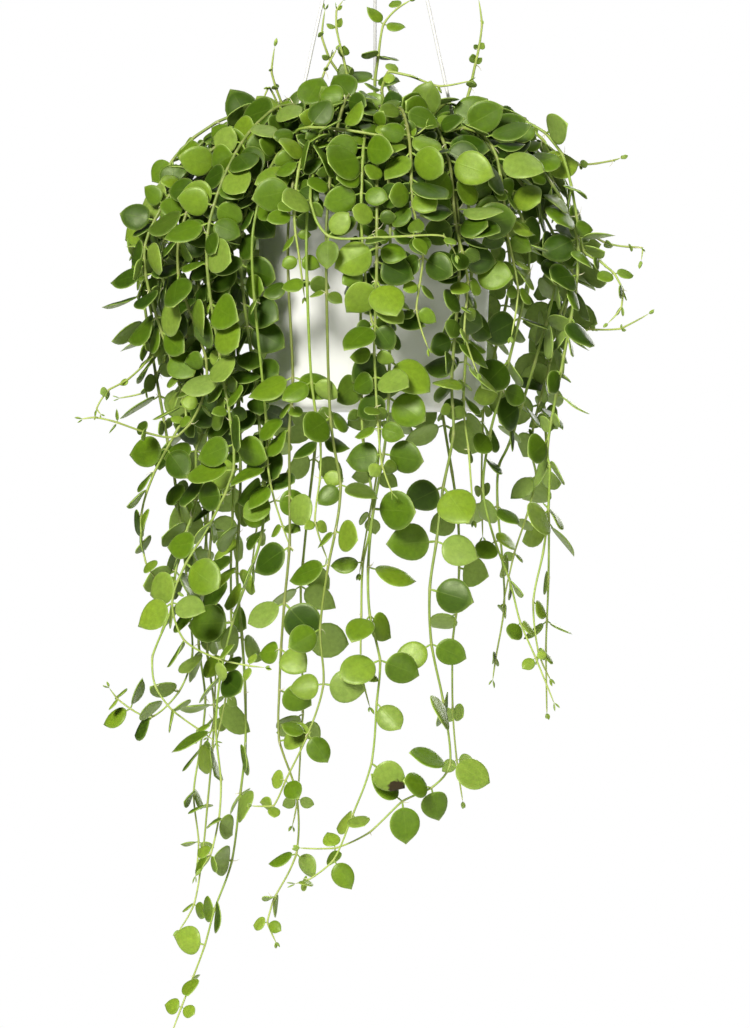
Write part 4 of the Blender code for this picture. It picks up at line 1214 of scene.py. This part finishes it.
class Crowd:    # what is already in the way, kept in a coarse grid of cells
    cell = 20.0

    def __init__(self):
        self.cells = {}
        self.things = {}

    def around(self, middle, radius):
        low = [math.floor((middle[k] - radius) / self.cell) for k in range(3)]
        high = [math.floor((middle[k] + radius) / self.cell) for k in range(3)]
        return itertools.product(*(range(a, b + 1) for a, b in zip(low, high)))

    def put(self, number, middle, radius, tree, owner, ends=None):
        for key in self.around(middle, radius):
            self.cells.setdefault(key, []).append(number)
        self.things[number] = (middle, radius, tree, owner, ends)

    def near(self, middle, radius):
        found = set()
        for key in self.around(middle, radius):
            found.update(self.cells.get(key, ()))
        return found


def nearLine(point, start, end):
    line = end - start
    share = min(1.0, max(0.0, (point - start).dot(line) / line.length_squared))
    return (point - start - line * share).length


def fits(leaf, middle, radius, tree, crowd, guards):
    for number in crowd.near(middle, radius):
        otherMiddle, otherRadius, other, owner, ends = crowd.things[number]
        if number == leaf.get("number"):
            continue
        if (otherMiddle - middle).length > radius + otherRadius:
            continue
        if owner == leaf["stem"] and ends and nearLine(leaf["place"], *ends) < 1.5:
            continue
        if tree.overlap(other):
            return False
    return not any(tree.overlap(guard) for guard in guards)


def solidGuards(names):
    guards = []
    for name in names:
        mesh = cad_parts[name].data
        verts = [vert.co / mm + Vector((0, 0, hangHeight)) for vert in mesh.vertices]
        guards.append(BVHTree.FromPolygons(verts, [tuple(p.vertices) for p in mesh.polygons]))
    return guards


def inSolid(stem, number, order):    # True for the leaf pairs that the solids carry
    onArc = order < stem["arcJoints"]
    share = stemRule["solidArcShare"] if onArc else stemRule["solidHangingShare"]
    return (order + number) % share == 0 or order == len(stem["joints"]) - 1


def thinning(stem, order):    # what the solids leave out can be thinner low down
    if stem["samples"][stem["joints"][order]].z > leafRule["fillAbove"]:
        return 0.0
    return leafRule["thinnedBehind" if "back" in stem["name"] else "thinned"]


def underDome(leaf, stem):    # a low wide dome with a steeper one in the middle
    tip = leaf["place"] + leaf["axis"] * leaf["length"]
    reach = math.hypot(tip.x, tip.y)
    domes = [top - fall * reach * reach for top, fall in leafRule["domes"]]
    return stem["arch"] is None or tip.z < max(domes)


def placeLeaf(stem, order, side, leaves, crowd, guards, rank):    # True once it finds room
    for attempt in range(leafRule["tries"]):
        leaf = drawLeaf(stem, order, side, attempt, rank * leafRule["frontLean"])
        middle, radius, tree = bladeGuard(leaf)
        if rank and not (underDome(leaf, stem) and middle.y + radius < leafRule["backmost"]):
            continue
        if fits(leaf, middle, radius, tree, crowd, guards):
            leaf["number"] = len(crowd.things)
            crowd.put(leaf["number"], middle, radius, tree, stem["name"])
            leaves[stem["name"]].append(leaf)
            return True
    return False


def jointsBetween(stem):
    joints, samples = stem["joints"], stem["samples"]
    if stem["size"] < leafRule["fillFrom"]:
        return []
    return [(low + high) // 2 for low, high in zip(joints, joints[1:])
            if high - low >= leafRule["fillGap"]
            and samples[(low + high) // 2].z > leafRule["fillAbove"]]


def growLeaves(leaves, crowd, guards):    # each leaf to the largest size that has room
    sizes = []
    for leaf in leaves:
        sizes.append(1.0)
        for growth in leafRule["growths"]:
            grown = {**leaf, "length": leaf["length"] * growth, "width": leaf["width"] * growth}
            middle, radius, tree = bladeGuard(grown)
            inside = middle.y + radius < leafRule["backmost"]
            if inside and fits(grown, middle, radius, tree, crowd, guards):
                crowd.put(leaf["number"], middle, radius, tree, leaf["stem"])
                leaf.update(length=grown["length"], width=grown["width"])
                sizes[-1] = growth
                break
    print("leaves grown by", round(sum(sizes) / len(sizes), 3), "on average")


def middleOf(leaf):
    return leaf["place"] + leaf["axis"] * leaf["length"] / 2


def coverLeaves(leaves):    # how far each leaf lies under others, for the painted shade that deepens such leaves
    tree = KDTree(len(leaves))
    for number, leaf in enumerate(leaves):
        tree.insert(middleOf(leaf), number)
    tree.balance()
    for leaf in leaves:
        middle = middleOf(leaf)
        outward = middle + lightAt(middle) * leafRule["coverRise"]
        over = len(tree.find_range(outward, leafRule["coverReach"]))
        leaf["covered"] = ramp(over, 0.5, leafRule["coverFull"])
    share = sum(leaf["covered"] for leaf in leaves) / len(leaves)
    print("leaves covered by", round(share, 3), "on average")


def crowdOf(stems):    # the stems of the solids, with a little air round them
    crowd = Crowd()
    margin = leafRule["margin"]
    for stem in stems:
        rings = solidStemRings(stem)
        for pair in zip(rings, rings[1:]):
            ends = [sum(ring, Vector()) / 4 for ring in pair]
            swollen = [[corner + (corner - end).normalized() * margin for corner in ring]
                       for ring, end in zip(pair, ends)]
            crowd.put(len(crowd.things), *guardOf(swollen), stem["name"], ends)
    return crowd


def placeLeaves(stems, guards):    # the solids' own leaves first, then all the others
    crowd = crowdOf(stems)
    queue = []
    for number, stem in enumerate(stems):
        for order in range(len(stem["joints"])):
            rank = 0 if inSolid(stem, number, order) else 1
            queue.append((rank, len(stem["joints"]) - order, stem, order))
    queue.sort(key=lambda entry: entry[:2])
    leaves = {stem["name"]: [] for stem in stems}
    dropped = 0
    for rank, _, stem, order in queue:
        for side in (0, 1):
            chance = random.Random(f"{stem['name']} grows {order} {side}").random()
            if chance < leafRule["missing"] and order < len(stem["joints"]) - 2:
                continue
            if rank and chance > 1 - thinning(stem, order):
                continue
            dropped += not placeLeaf(stem, order, side, leaves, crowd, guards, rank)
    print("leaves:", sum(len(row) for row in leaves.values()), "without room:", dropped)
    for stem in stems:
        first = len(stem["joints"])
        stem["joints"] += jointsBetween(stem)
        for order in range(first, len(stem["joints"])):
            for side in (0, 1):
                placeLeaf(stem, order, side, leaves, crowd, guards, 1)
    everyLeaf = [leaf for row in leaves.values() for leaf in row]
    print("leaves with those between:", len(everyLeaf))
    growLeaves(everyLeaf, crowd, guards)
    coverLeaves(everyLeaf)
    return leaves


# What a leaf, a stem and an aerial root look like

leafLook = {
    "deep": (0.032, 0.074, 0.003),
    "middle": (0.120, 0.215, 0.008),
    "yellowish": (0.225, 0.335, 0.022),
    "bloom": (0.240, 0.340, 0.070),     # the waxy greyish green of some leaves
    "young": (0.345, 0.475, 0.060),
    "under": (0.240, 0.350, 0.070),
    "shade": (0.66, 0.72, 0.6),         # of the darker clouds, times the colour
    "mottle": (55.0, 2.2),
    "flecks": ((0.36, 0.36, 0.36), (0.66, 0.66, 0.66), 420.0, 3.0),
    "vein": (0.250, 0.380, 0.050),
    "veinWide": (0.004, 0.022),         # on the leaf's map, which is 1 wide and 1 long
    "veinLong": (0.55, 0.95),
    "veinShare": 0.12,
    "veinDeep": -0.25,
    # The pale rim is partly the leaf's own margin and partly painted light caught by its rounded
    # edge.
    "margin": (0.560, 0.720, 0.190),
    "marginAndRimLightWide": (0.445, 0.48),        # the map's outline is 0.5 from its middle
    "marginAndRimLightShare": 0.56,
    "patch": (0.030, 0.016, 0.006),     # the brown of the one spotted leaf
    "patchAt": (0.62, 0.86, 0.0),
    "patchWide": (0.3, 0.36),
    "patchNoise": (420.0, 3.0),
    "patchRagged": 0.2,
    "roughness": (0.33, 0.50),
    "dimples": (160.0, 1400.0, 0.35, 0.32, 0.0004),
    "shader": {
        "Subsurface_Weight": 0.14,
        "Subsurface_Radius": (0.5, 1.0, 0.2),
        "Subsurface_Scale": 0.0012,
        "Specular_IOR_Level": 0.4,
        "Specular_Tint": (0.9, 1.0, 0.64),
    },
    "foldedForward": (0.6, 2.0),        # how far folded leaves lean along their stem
    "foldedSize": 0.8,
    "grownUpAt": (6.0, 19.0),           # the lengths at which leaves are young and old
    "youthDraw": (0.35, 1.0),
    "lateShare": 0.1,                   # so many leaves are young at any length
    "lateYouth": (0.3, 0.8),
    "highFrom": (-300.0, 40.0),         # leaves near the top are older and deeper
    "highYouth": 0.35,
    "toneBend": (0.85, 1.75),
    # Painted shade: leaves under others keep only this share of their tone, and less young colour.
    "paintedShadeTone": 0.06,                # the share kept by leaves right under others
    "paintedShadeYouth": 0.3,
}


def distanceTo(tree, place, point):
    node = nodeIn(tree, "ShaderNodeVectorMath", operation="DISTANCE")
    for socket, value in zip(node.inputs, (place, point)):
        plug(tree, socket, value)
    return node.outputs["Value"]


def leafFinish():
    material, tree, shader, place = newFinish("leaf skin")
    look = leafLook
    stops = (("deep", 0.0), ("middle", 0.3), ("middle", 0.5), ("yellowish", 0.78), ("bloom", 1.0))
    ladder = ladderOf(tree, attributeOf(tree, "tone"), look, stops)
    fresh = blendColour(tree, attributeOf(tree, "youth"), ladder, look["young"])
    shade = blendColour(tree, 1.0, fresh, look["shade"], "MULTIPLY")
    cloudy, clouds = mottled(tree, place, fresh, shade, *look["mottle"])
    under = blendColour(tree, attributeOf(tree, "under"), cloudy, look["under"])
    flecks, _ = mottled(tree, place, *look["flecks"])
    flecked = blendColour(tree, 0.5, under, flecks, "OVERLAY")

    flat = nodeIn(tree, "ShaderNodeUVMap", uv_map="leafMap").outputs["UV"]
    parts = nodeIn(tree, "ShaderNodeSeparateXYZ")
    plug(tree, parts.inputs[0], flat)
    across = mathNode(tree, "ABSOLUTE", mathNode(tree, "SUBTRACT", parts.outputs["X"], 0.5))
    vein = times(tree, between(tree, across, *look["veinWide"], 1.0, 0.0),
                 between(tree, parts.outputs["Y"], *look["veinLong"], 1.0, 0.0))
    veined = blendColour(tree, times(tree, vein, look["veinShare"]), flecked, look["vein"])
    # A pale rim round the outline: the leaf's margin with painted rim light.
    reach = distanceTo(tree, flat, (0.5, 0.5, 0.0))
    edge = between(tree, reach, *look["marginAndRimLightWide"], 0.0, look["marginAndRimLightShare"])
    marginAndRimLit = blendColour(tree, edge, veined, look["margin"])
    ragged = noiseIn(tree, place, *look["patchNoise"])
    reached = mathNode(tree, "MULTIPLY_ADD", ragged, look["patchRagged"],
                       distanceTo(tree, flat, look["patchAt"]))
    stained = times(tree, between(tree, reached, *look["patchWide"], 1.0, 0.0),
                    attributeOf(tree, "spot"))
    colour = blendColour(tree, stained, marginAndRimLit, look["patch"])
    dress(tree, shader, place, look, colour, clouds, times(tree, vein, look["veinDeep"]))
    return material


def leafTemplate(name):    # a fleshy disc with its stalk, a leaf long
    bm = bmesh.new()
    flat = bm.loops.layers.uv.new("leafMap")
    under = bm.verts.layers.float.new("under")
    sharp = bm.verts.layers.float.new("crease_vert")
    bmesh.ops.create_uvsphere(bm, u_segments=leafRule["around"][name], v_segments=4, radius=1.0)
    for vert in bm.verts:
        x, y, z = vert.co
        edge = abs(z) < 0.01
        vert[under] = 0.5 if edge else 0.5 - 0.5 * math.copysign(1, z)
        if not edge:
            x, y = leafRule["flat"] * x, leafRule["flat"] * y
            z = math.copysign(abs(z) ** 0.45, z)
        elif abs(x) < 0.01:
            vert[sharp] = 0.9 if y > 0 else 0.35
        vert.co = (x, y, z)
    stalk = [Vector((0, share, 0)) for share in (-1.36, -0.76)]
    rings = growTube(bm, stalk, [1.0, 1.0], 4)
    for ring, (wide, thick) in zip(rings, ((0.1, 1.1), (0.11, 0.95))):
        centre = sum((vert.co for vert in ring), Vector()) / len(ring)
        for vert in ring:
            off = vert.co - centre
            vert.co = centre + Vector((off.x * wide, 0, off.z * thick))
            vert[under] = 0.5
    stalkVerts = {vert for ring in rings for vert in ring}
    for face in bm.faces:
        face.material_index = 1 if all(vert in stalkVerts for vert in face.verts) else 0
        for loop in face.loops:
            loop[flat].uv = (0.5 + 0.5 * loop.vert.co.x, 0.5 + 0.5 * loop.vert.co.y)
    bmesh.ops.recalc_face_normals(bm, faces=bm.faces[:])
    return meshOf(bm, name + " leaf")


def leafShape(leaf, look, kind):    # bends the flat template into one leaf
    keys = ("ovate", "cup", "nib", "curl")
    ovate, cup, nib, curl = (look.uniform(*leafRule[key]) for key in keys)
    wave = look.uniform(0.0, math.tau)
    axis, normal, place = leaf["axis"], leaf["normal"], leaf["place"]
    across = axis.cross(normal)
    length, halfWidth = leaf["length"], leaf["width"] / 2
    thick = leafRule["thickness"] / 2 * ramp(length, 1.0, 17.0) ** 0.5 + 0.12
    stalk, swell = leafRule["stalk"], leafRule["swell"][kind]

    def shape(co):
        x, y, z = co
        rise = 0.0
        if y > -1.001:
            x *= swell * (1 - 0.5 * ovate * y)
            y = swell * (y - 0.6 * ovate * (1 - y * y))
            if co.y > 0.9 and abs(co.x) < 0.01:
                y += nib
            ripple = math.sin(3.1 * y + 2.3 * x + wave) * (x * x + y * y)
            rise = leafRule["ripple"] * halfWidth * ripple
        share = stalk + (1 - stalk) * 0.5 * (y + 1)
        rise += leaf["bend"] * max(0.0, share - 0.2) ** 2 * length
        rise += cup * abs(x) ** 1.6 * halfWidth
        turn = math.radians(curl) * max(0.0, share - stalk)
        side = x * halfWidth
        lift = z * thick + rise
        side, lift = (side * math.cos(turn) - lift * math.sin(turn),
                      side * math.sin(turn) + lift * math.cos(turn))
        return place + axis * share * length + across * side + normal * lift

    return shape


stemLook = {
    "old": (0.210, 0.310, 0.040),
    "middle": (0.330, 0.470, 0.060),
    "young": (0.500, 0.590, 0.140),
    "oldFrom": 330.0,         # so far from its tip a stem looks old
    "brown": (0.200, 0.180, 0.050),
    "brownFrom": 120.0,
    "greenShare": 0.82,       # so many stems are brown by the first of these shares
    "greenStems": (0.0, 0.2),
    "brownStems": (0.3, 0.6),
    "shade": (0.62, 0.68, 0.6),
    "knot": (0.440, 0.430, 0.170),
    "knotShare": 0.4,
    "mottle": (240.0, 2.4),
    "roughness": (0.42, 0.6),
    "dimples": (420.0, 1800.0, 0.4, 0.4, 0.0003),
    "shader": {
        "Subsurface_Weight": 0.12,
        "Subsurface_Radius": (0.6, 1.0, 0.2),
        "Subsurface_Scale": 0.0008,
    },
}


def stemFinish():
    material, tree, shader, place = newFinish("stem skin")
    look = stemLook
    stops = (("young", 0.0), ("middle", 0.3), ("old", 1.0))
    ladder = ladderOf(tree, attributeOf(tree, "age"), look, stops)
    browned = blendColour(tree, attributeOf(tree, "brown"), ladder, look["brown"])
    darker = blendColour(tree, 1.0, browned, look["shade"], "MULTIPLY")
    streaked, mask = mottled(tree, place, browned, darker, *look["mottle"])
    knot = times(tree, attributeOf(tree, "knot"), look["knotShare"])
    knotted = blendColour(tree, knot, streaked, look["knot"])
    dress(tree, shader, place, look, knotted, mask)
    return material


rootlet = {
    "chance": 0.42,
    "bareChance": 0.8,
    "second": 0.3,
    "length": (2.6, 7.5),
    "radius": 0.62,
    "radiusSpread": (0.75, 1.1),
    "hook": (-1.5, 1.5),
    "bow": (-0.6, 0.6),
    "colours": ((0.78, 0.78, 0.52), (0.62, 0.60, 0.34)),
    "tip": (0.52, 0.46, 0.24),
    "tipShare": 0.45,
    "mottle": (500.0, 2.0),
    "roughness": (0.55, 0.75),
    "dimples": (900.0, 2600.0, 0.5, 0.3, 0.0002),
}


def rootletFinish():
    material, tree, shader, place = newFinish("aerial root")
    pale, mask = mottled(tree, place, *rootlet["colours"], *rootlet["mottle"])
    tip = times(tree, attributeOf(tree, "age"), rootlet["tipShare"])
    dress(tree, shader, place, rootlet, blendColour(tree, tip, pale, rootlet["tip"]), mask)
    return material


def rootletTemplate():    # a short tapering thread, one unit long
    bm = bmesh.new()
    age = bm.verts.layers.float.new("age")
    stops = ((0.0, 1.0, 0.0), (0.3, 0.75, 0.1), (0.65, 0.55, 0.4), (1.0, 0.25, 1.0))
    path = [Vector((0, 0, share)) for share, _, _ in stops]
    rings = growTube(bm, path, [radius for _, radius, _ in stops], 4)
    for ring, (_, _, old) in zip(rings, stops):
        for vert in ring:
            vert[age] = old
    for face in bm.faces:
        face.material_index = 2
    return meshOf(bm, "rootlet")


def rootletShape(place, toward, along, look):
    length = look.uniform(*rootlet["length"])
    hook = look.uniform(*rootlet["hook"])
    radius = rootlet["radius"] * look.uniform(*rootlet["radiusSpread"])
    side = toward.cross(along).normalized()
    bow = along * hook + side * look.uniform(*rootlet["bow"])

    def shape(co):
        spine = place + toward * co.z * length * (1 - 0.35 * co.z)
        spine += bow * co.z * co.z * length * 0.6
        return spine + (side * co.x + along * co.y) * radius

    return shape


def stamp(bm, template, shape):    # adds a template and moves each of its points
    first = len(bm.verts)
    bm.from_mesh(template)
    bm.verts.ensure_lookup_table()
    fresh = bm.verts[first:]
    for vert in fresh:
        vert.co = shape(vert.co.copy())
    return fresh


def paint(verts, layers, **values):
    for key, value in values.items():
        for vert in verts:
            vert[layers[key]] = value


# The plant

paintedLayers = ("under", "crease_vert", "age", "brown", "knot", "tone", "youth", "spot")


def knotsOf(stem):    # where the stem's tube has its rings, and how much of a knot each is
    joints, last = stem["joints"], len(stem["samples"]) - 1
    reach = stemRule["knotReach"] / stemRule["sampleStep"]
    knots = {index: 0.0 for index in range(0, last, 2)
             if all(abs(index - joint) > 2.4 * reach for joint in joints)}
    for joint in joints:
        knots.update({joint - reach: 0.25, joint: 1.0, joint + reach: 0.25})
    knots.update({0: 0.0, last: 0.0})
    return {position: knots[position] for position in sorted(knots) if 0 <= position <= last}


def growTrunk(bm, stem, layers):
    samples, knots = stem["samples"], knotsOf(stem)
    last = len(samples) - 1
    path = [pointAlong(samples, position) for position in knots]
    radii = []
    for position, knot in knots.items():
        thick = stemRadius(stem, position) * stemRule["swell"]
        if position == last:
            thick *= 0.5
        radii.append(thick * (1 + (stemRule["knot"] - 1) * knot))
    rings = growTube(bm, path, radii, stemRule["sides"])
    look = random.Random(f"{stem['name']} look")
    kind = "greenStems" if look.random() < stemLook["greenShare"] else "brownStems"
    brown = look.uniform(*stemLook[kind])
    for (position, knot), ring in zip(knots.items(), rings):
        fromTip = (last - position) * stemRule["sampleStep"]
        paint(ring, layers, age=min(1.0, fromTip / stemLook["oldFrom"]), knot=knot,
              brown=brown * min(1.0, fromTip / stemLook["brownFrom"]))
    for face in bm.faces:
        face.material_index = 1


def growLeaf(bm, stem, leaf, templates, layers):
    look = random.Random(f"{stem['name']} look {leaf['order']} {leaf['side']}")
    if stem["size"] < leafRule["foldedBelow"]:
        axis = leaf["axis"] + leaf["along"] * look.uniform(*leafLook["foldedForward"])
        axis.normalize()
        normal = (leaf["normal"] - axis * leaf["normal"].dot(axis)).normalized()
        leaf.update(axis=axis, normal=normal, length=leaf["length"] * leafLook["foldedSize"])
    small = leaf["length"] < leafRule["smallBelow"] or leaf["place"].y > leafRule["plainBehind"]
    kind = "small" if small else "broad"
    fresh = stamp(bm, templates[kind], leafShape(leaf, look, kind))
    height = ramp(leaf["place"].z, *leafLook["highFrom"])
    youth = 1 - ramp(leaf["length"], *leafLook["grownUpAt"])
    youth *= look.uniform(*leafLook["youthDraw"])
    if look.random() < leafLook["lateShare"]:
        youth = max(youth, look.uniform(*leafLook["lateYouth"]))
    if stem["size"] > leafRule["foldedBelow"]:
        youth *= mix(1.0, leafLook["highYouth"], height)
    # Painted shade: leaves under others lose youth and tone.
    youth *= mix(1.0, leafLook["paintedShadeYouth"], leaf["covered"])
    tone = look.random() ** mix(*leafLook["toneBend"], height)
    tone *= mix(1.0, leafLook["paintedShadeTone"], leaf["covered"])
    paint(fresh, layers, tone=tone, youth=youth, spot=leaf.get("spot", 0.0),
          age=0.15 + 0.3 * (1 - youth))


def growRootlets(bm, stem, template):
    samples = stem["samples"]
    chance = rootlet["bareChance" if stem["name"] in stemRule["bareInFront"] else "chance"]
    for number, index in enumerate(stem["joints"]):
        look = random.Random(f"{stem['name']} rootlet {number}")
        count = 0
        if look.random() < chance:
            count = 2 if look.random() < rootlet["second"] else 1
        for _ in range(count):
            along = tangentAt(samples, index)
            toward = turnAbout(along.orthogonal().normalized(), along, look.uniform(0, 360))
            stamp(bm, template, rootletShape(samples[index], toward, along, look))


def growStem(stem, leaves, templates):
    bm = bmesh.new()
    bm.loops.layers.uv.new("leafMap")
    layers = {key: bm.verts.layers.float.new(key) for key in paintedLayers}
    growTrunk(bm, stem, layers)
    for leaf in leaves:
        growLeaf(bm, stem, leaf, templates, layers)
    growRootlets(bm, stem, templates["rootlet"])
    growBud(bm, stem, templates["small"], layers)
    toMetres(bm)
    finishPiece(stem["name"] + "_leafy", bm, ["leaf", "stem", "rootlet"],
                [stem["name"]], smoothing=1)


def growBud(bm, stem, template, layers):    # the folded pair of tiny leaves at a stem's tip
    samples = stem["samples"]
    along = tangentAt(samples, len(samples) - 1)
    look = random.Random(f"{stem['name']} bud")
    facing = turnAbout(along.orthogonal().normalized(), along, look.uniform(0, 360))
    for side in (1, -1):
        axis = (along + facing * side * look.uniform(0.25, 0.7)).normalized()
        normal = (along - axis * along.dot(axis)).normalized()
        length = look.uniform(3.4, 5.6)
        bud = {"place": samples[-1] - along * 0.6, "axis": axis, "normal": normal,
               "length": length, "width": length * look.uniform(0.42, 0.6), "bend": 0.1}
        paint(stamp(bm, template, leafShape(bud, look, "small")), layers, youth=0.85,
              tone=0.6, age=0.05)


def fromSpot(leaf):
    return (middleOf(leaf).xz - Vector(leafRule["spotAt"])).length


def makePlant():
    stems = planStems()
    spreadRoots(stems)
    for stem in stems:
        traceStem(stem)
    partStems(stems, [wireLine(bearing)[1:5] for bearing in hanger["wireAngles"]])
    print("stems laid out:", len(stems))
    guards = solidGuards(["pot", "soil", "hanger_wire_1", "hanger_wire_2", "hanger_wire_3"])
    leaves = placeLeaves(stems, guards)
    inFront = [leaf for row in leaves.values() for leaf in row if leaf["place"].y < -60]
    min(inFront, key=fromSpot)["spot"] = 1.0
    templates = {"broad": leafTemplate("broad"), "small": leafTemplate("small"),
                 "rootlet": rootletTemplate()}
    for stem in stems:
        growStem(stem, leaves[stem["name"]], templates)
    print("plant grown")


# Stage, lights and camera

studio = {
    "aim": -194.0,
    "distance": 3.6,
    "frameHeight": 1028 * 0.6,   # 0.6 mm of the plant's own plane to a pixel
    "sensor": 24.0,
    "floorZ": -1.32,
    "floorRadius": 4.5,
    "floor": ((0.90, 0.90, 0.89), (0.87, 0.87, 0.86)),
    "farLights": {           # where each comes from, its width in degrees, power and colour
        "key": ((-1.0, -2.4, 1.35), 18, 4.4, (1.0, 0.98, 0.94)),
        "wash": ((0.2, 1.0, 1.9), 50, 0.2, (1.0, 1.0, 1.0)),
    },
    "softLights": {          # where each stands, its size, power and colour
        "fill": ((1.9, -2.6, -0.3), 1.2, 19.0, (1.0, 0.99, 0.98)),
        "top": ((0.3, 0.6, 1.7), 1.1, 5.0, (1.0, 1.0, 1.0)),
        "back": ((0.9, 3.0, 0.5), 1.8, 46.0, (1.0, 0.99, 0.97)),
    },
    "lightAim": -114.0,      # what the soft lights look at, below the rim
    "roomLight": 0.035,
}


def makeStage():
    bm = bmesh.new()
    bmesh.ops.create_circle(bm, cap_ends=True, segments=96, radius=studio["floorRadius"])
    for vert in bm.verts:
        vert.co.z = studio["floorZ"]
    floor = addObject("floor", meshOf(bm, "floor"))
    material, tree, shader, place = newFinish("pale floor")
    colour, _ = mottled(tree, place, *studio["floor"], 1.5, 1.0)
    feed(tree, shader, Base_Color=colour, Roughness=0.9)
    floor.data.materials.append(material)


def addLight(name, kind, power, colour):
    light = bpy.data.lights.new(name, kind)
    light.energy = power
    light.color = colour
    return light, addObject(name, light)


def makeLights():
    for name, (toward, degrees, power, colour) in studio["farLights"].items():
        light, lamp = addLight(name, "SUN", power, colour)
        light.angle = math.radians(degrees)
        lamp.rotation_euler = Vector(toward).to_track_quat("Z", "Y").to_euler()
    aim = at(0, 0, studio["lightAim"])
    for name, (place, size, power, colour) in studio["softLights"].items():
        light, lamp = addLight(name, "AREA", power, colour)
        light.shape = "DISK"
        light.size = size
        lamp.location = place
        lamp.rotation_euler = (aim - lamp.location).to_track_quat("-Z", "Y").to_euler()


def makeRoom():    # a dim room that shows white behind the plant
    world = bpy.data.worlds.new("studio")
    bpy.context.scene.world = world
    world.use_nodes = True
    tree = world.node_tree
    dim, bright = tree.nodes["Background"], nodeIn(tree, "ShaderNodeBackground")
    for node, strength in ((dim, studio["roomLight"]), (bright, 1.0)):
        feed(tree, node, Color=(1.0, 1.0, 1.0), Strength=strength)
    seen = nodeIn(tree, "ShaderNodeLightPath").outputs["Is Camera Ray"]
    choose = nodeIn(tree, "ShaderNodeMixShader")
    for socket, value in zip(choose.inputs, (seen, dim.outputs[0], bright.outputs[0])):
        plug(tree, socket, value)
    feed(tree, tree.nodes["World Output"], Surface=choose.outputs[0])


def makeCamera():
    lens = bpy.data.cameras.new("camera")
    lens.sensor_fit = "VERTICAL"
    lens.sensor_height = studio["sensor"]
    lens.lens = studio["sensor"] * studio["distance"] / (studio["frameHeight"] * mm)
    camera = addObject("camera", lens)
    camera.location = at(0, 0, studio["aim"]) - Vector((0, studio["distance"], 0))
    camera.rotation_euler = (math.radians(90), 0, 0)
    bpy.context.scene.camera = camera


def makeStudio():
    makeStage()
    makeLights()
    makeRoom()
    makeCamera()
    bpy.context.scene.view_settings.view_transform = "Standard"
    print("stage, lights and camera set")


finishes = {
    "leaf": leafFinish(),
    "stem": stemFinish(),
    "rootlet": rootletFinish(),
    "pot": plasticFinish("white satin plastic", pot["plastic"]),
    "hub": plasticFinish("hub plastic", hanger["plastic"]),
    "wire": mottledFinish("white coating", hanger["coating"]),
    "mix": mottledFinish("potting mix", soil["peat"]),
    "bark": bitFinish("bark bits", soil["bark"]),
    "grit": bitFinish("pale grit", soil["grit"]),
}
print("finishes ready:", len(finishes))

makePot()
makeSoil()
makeHanger()
makePlant()
makeStudio()
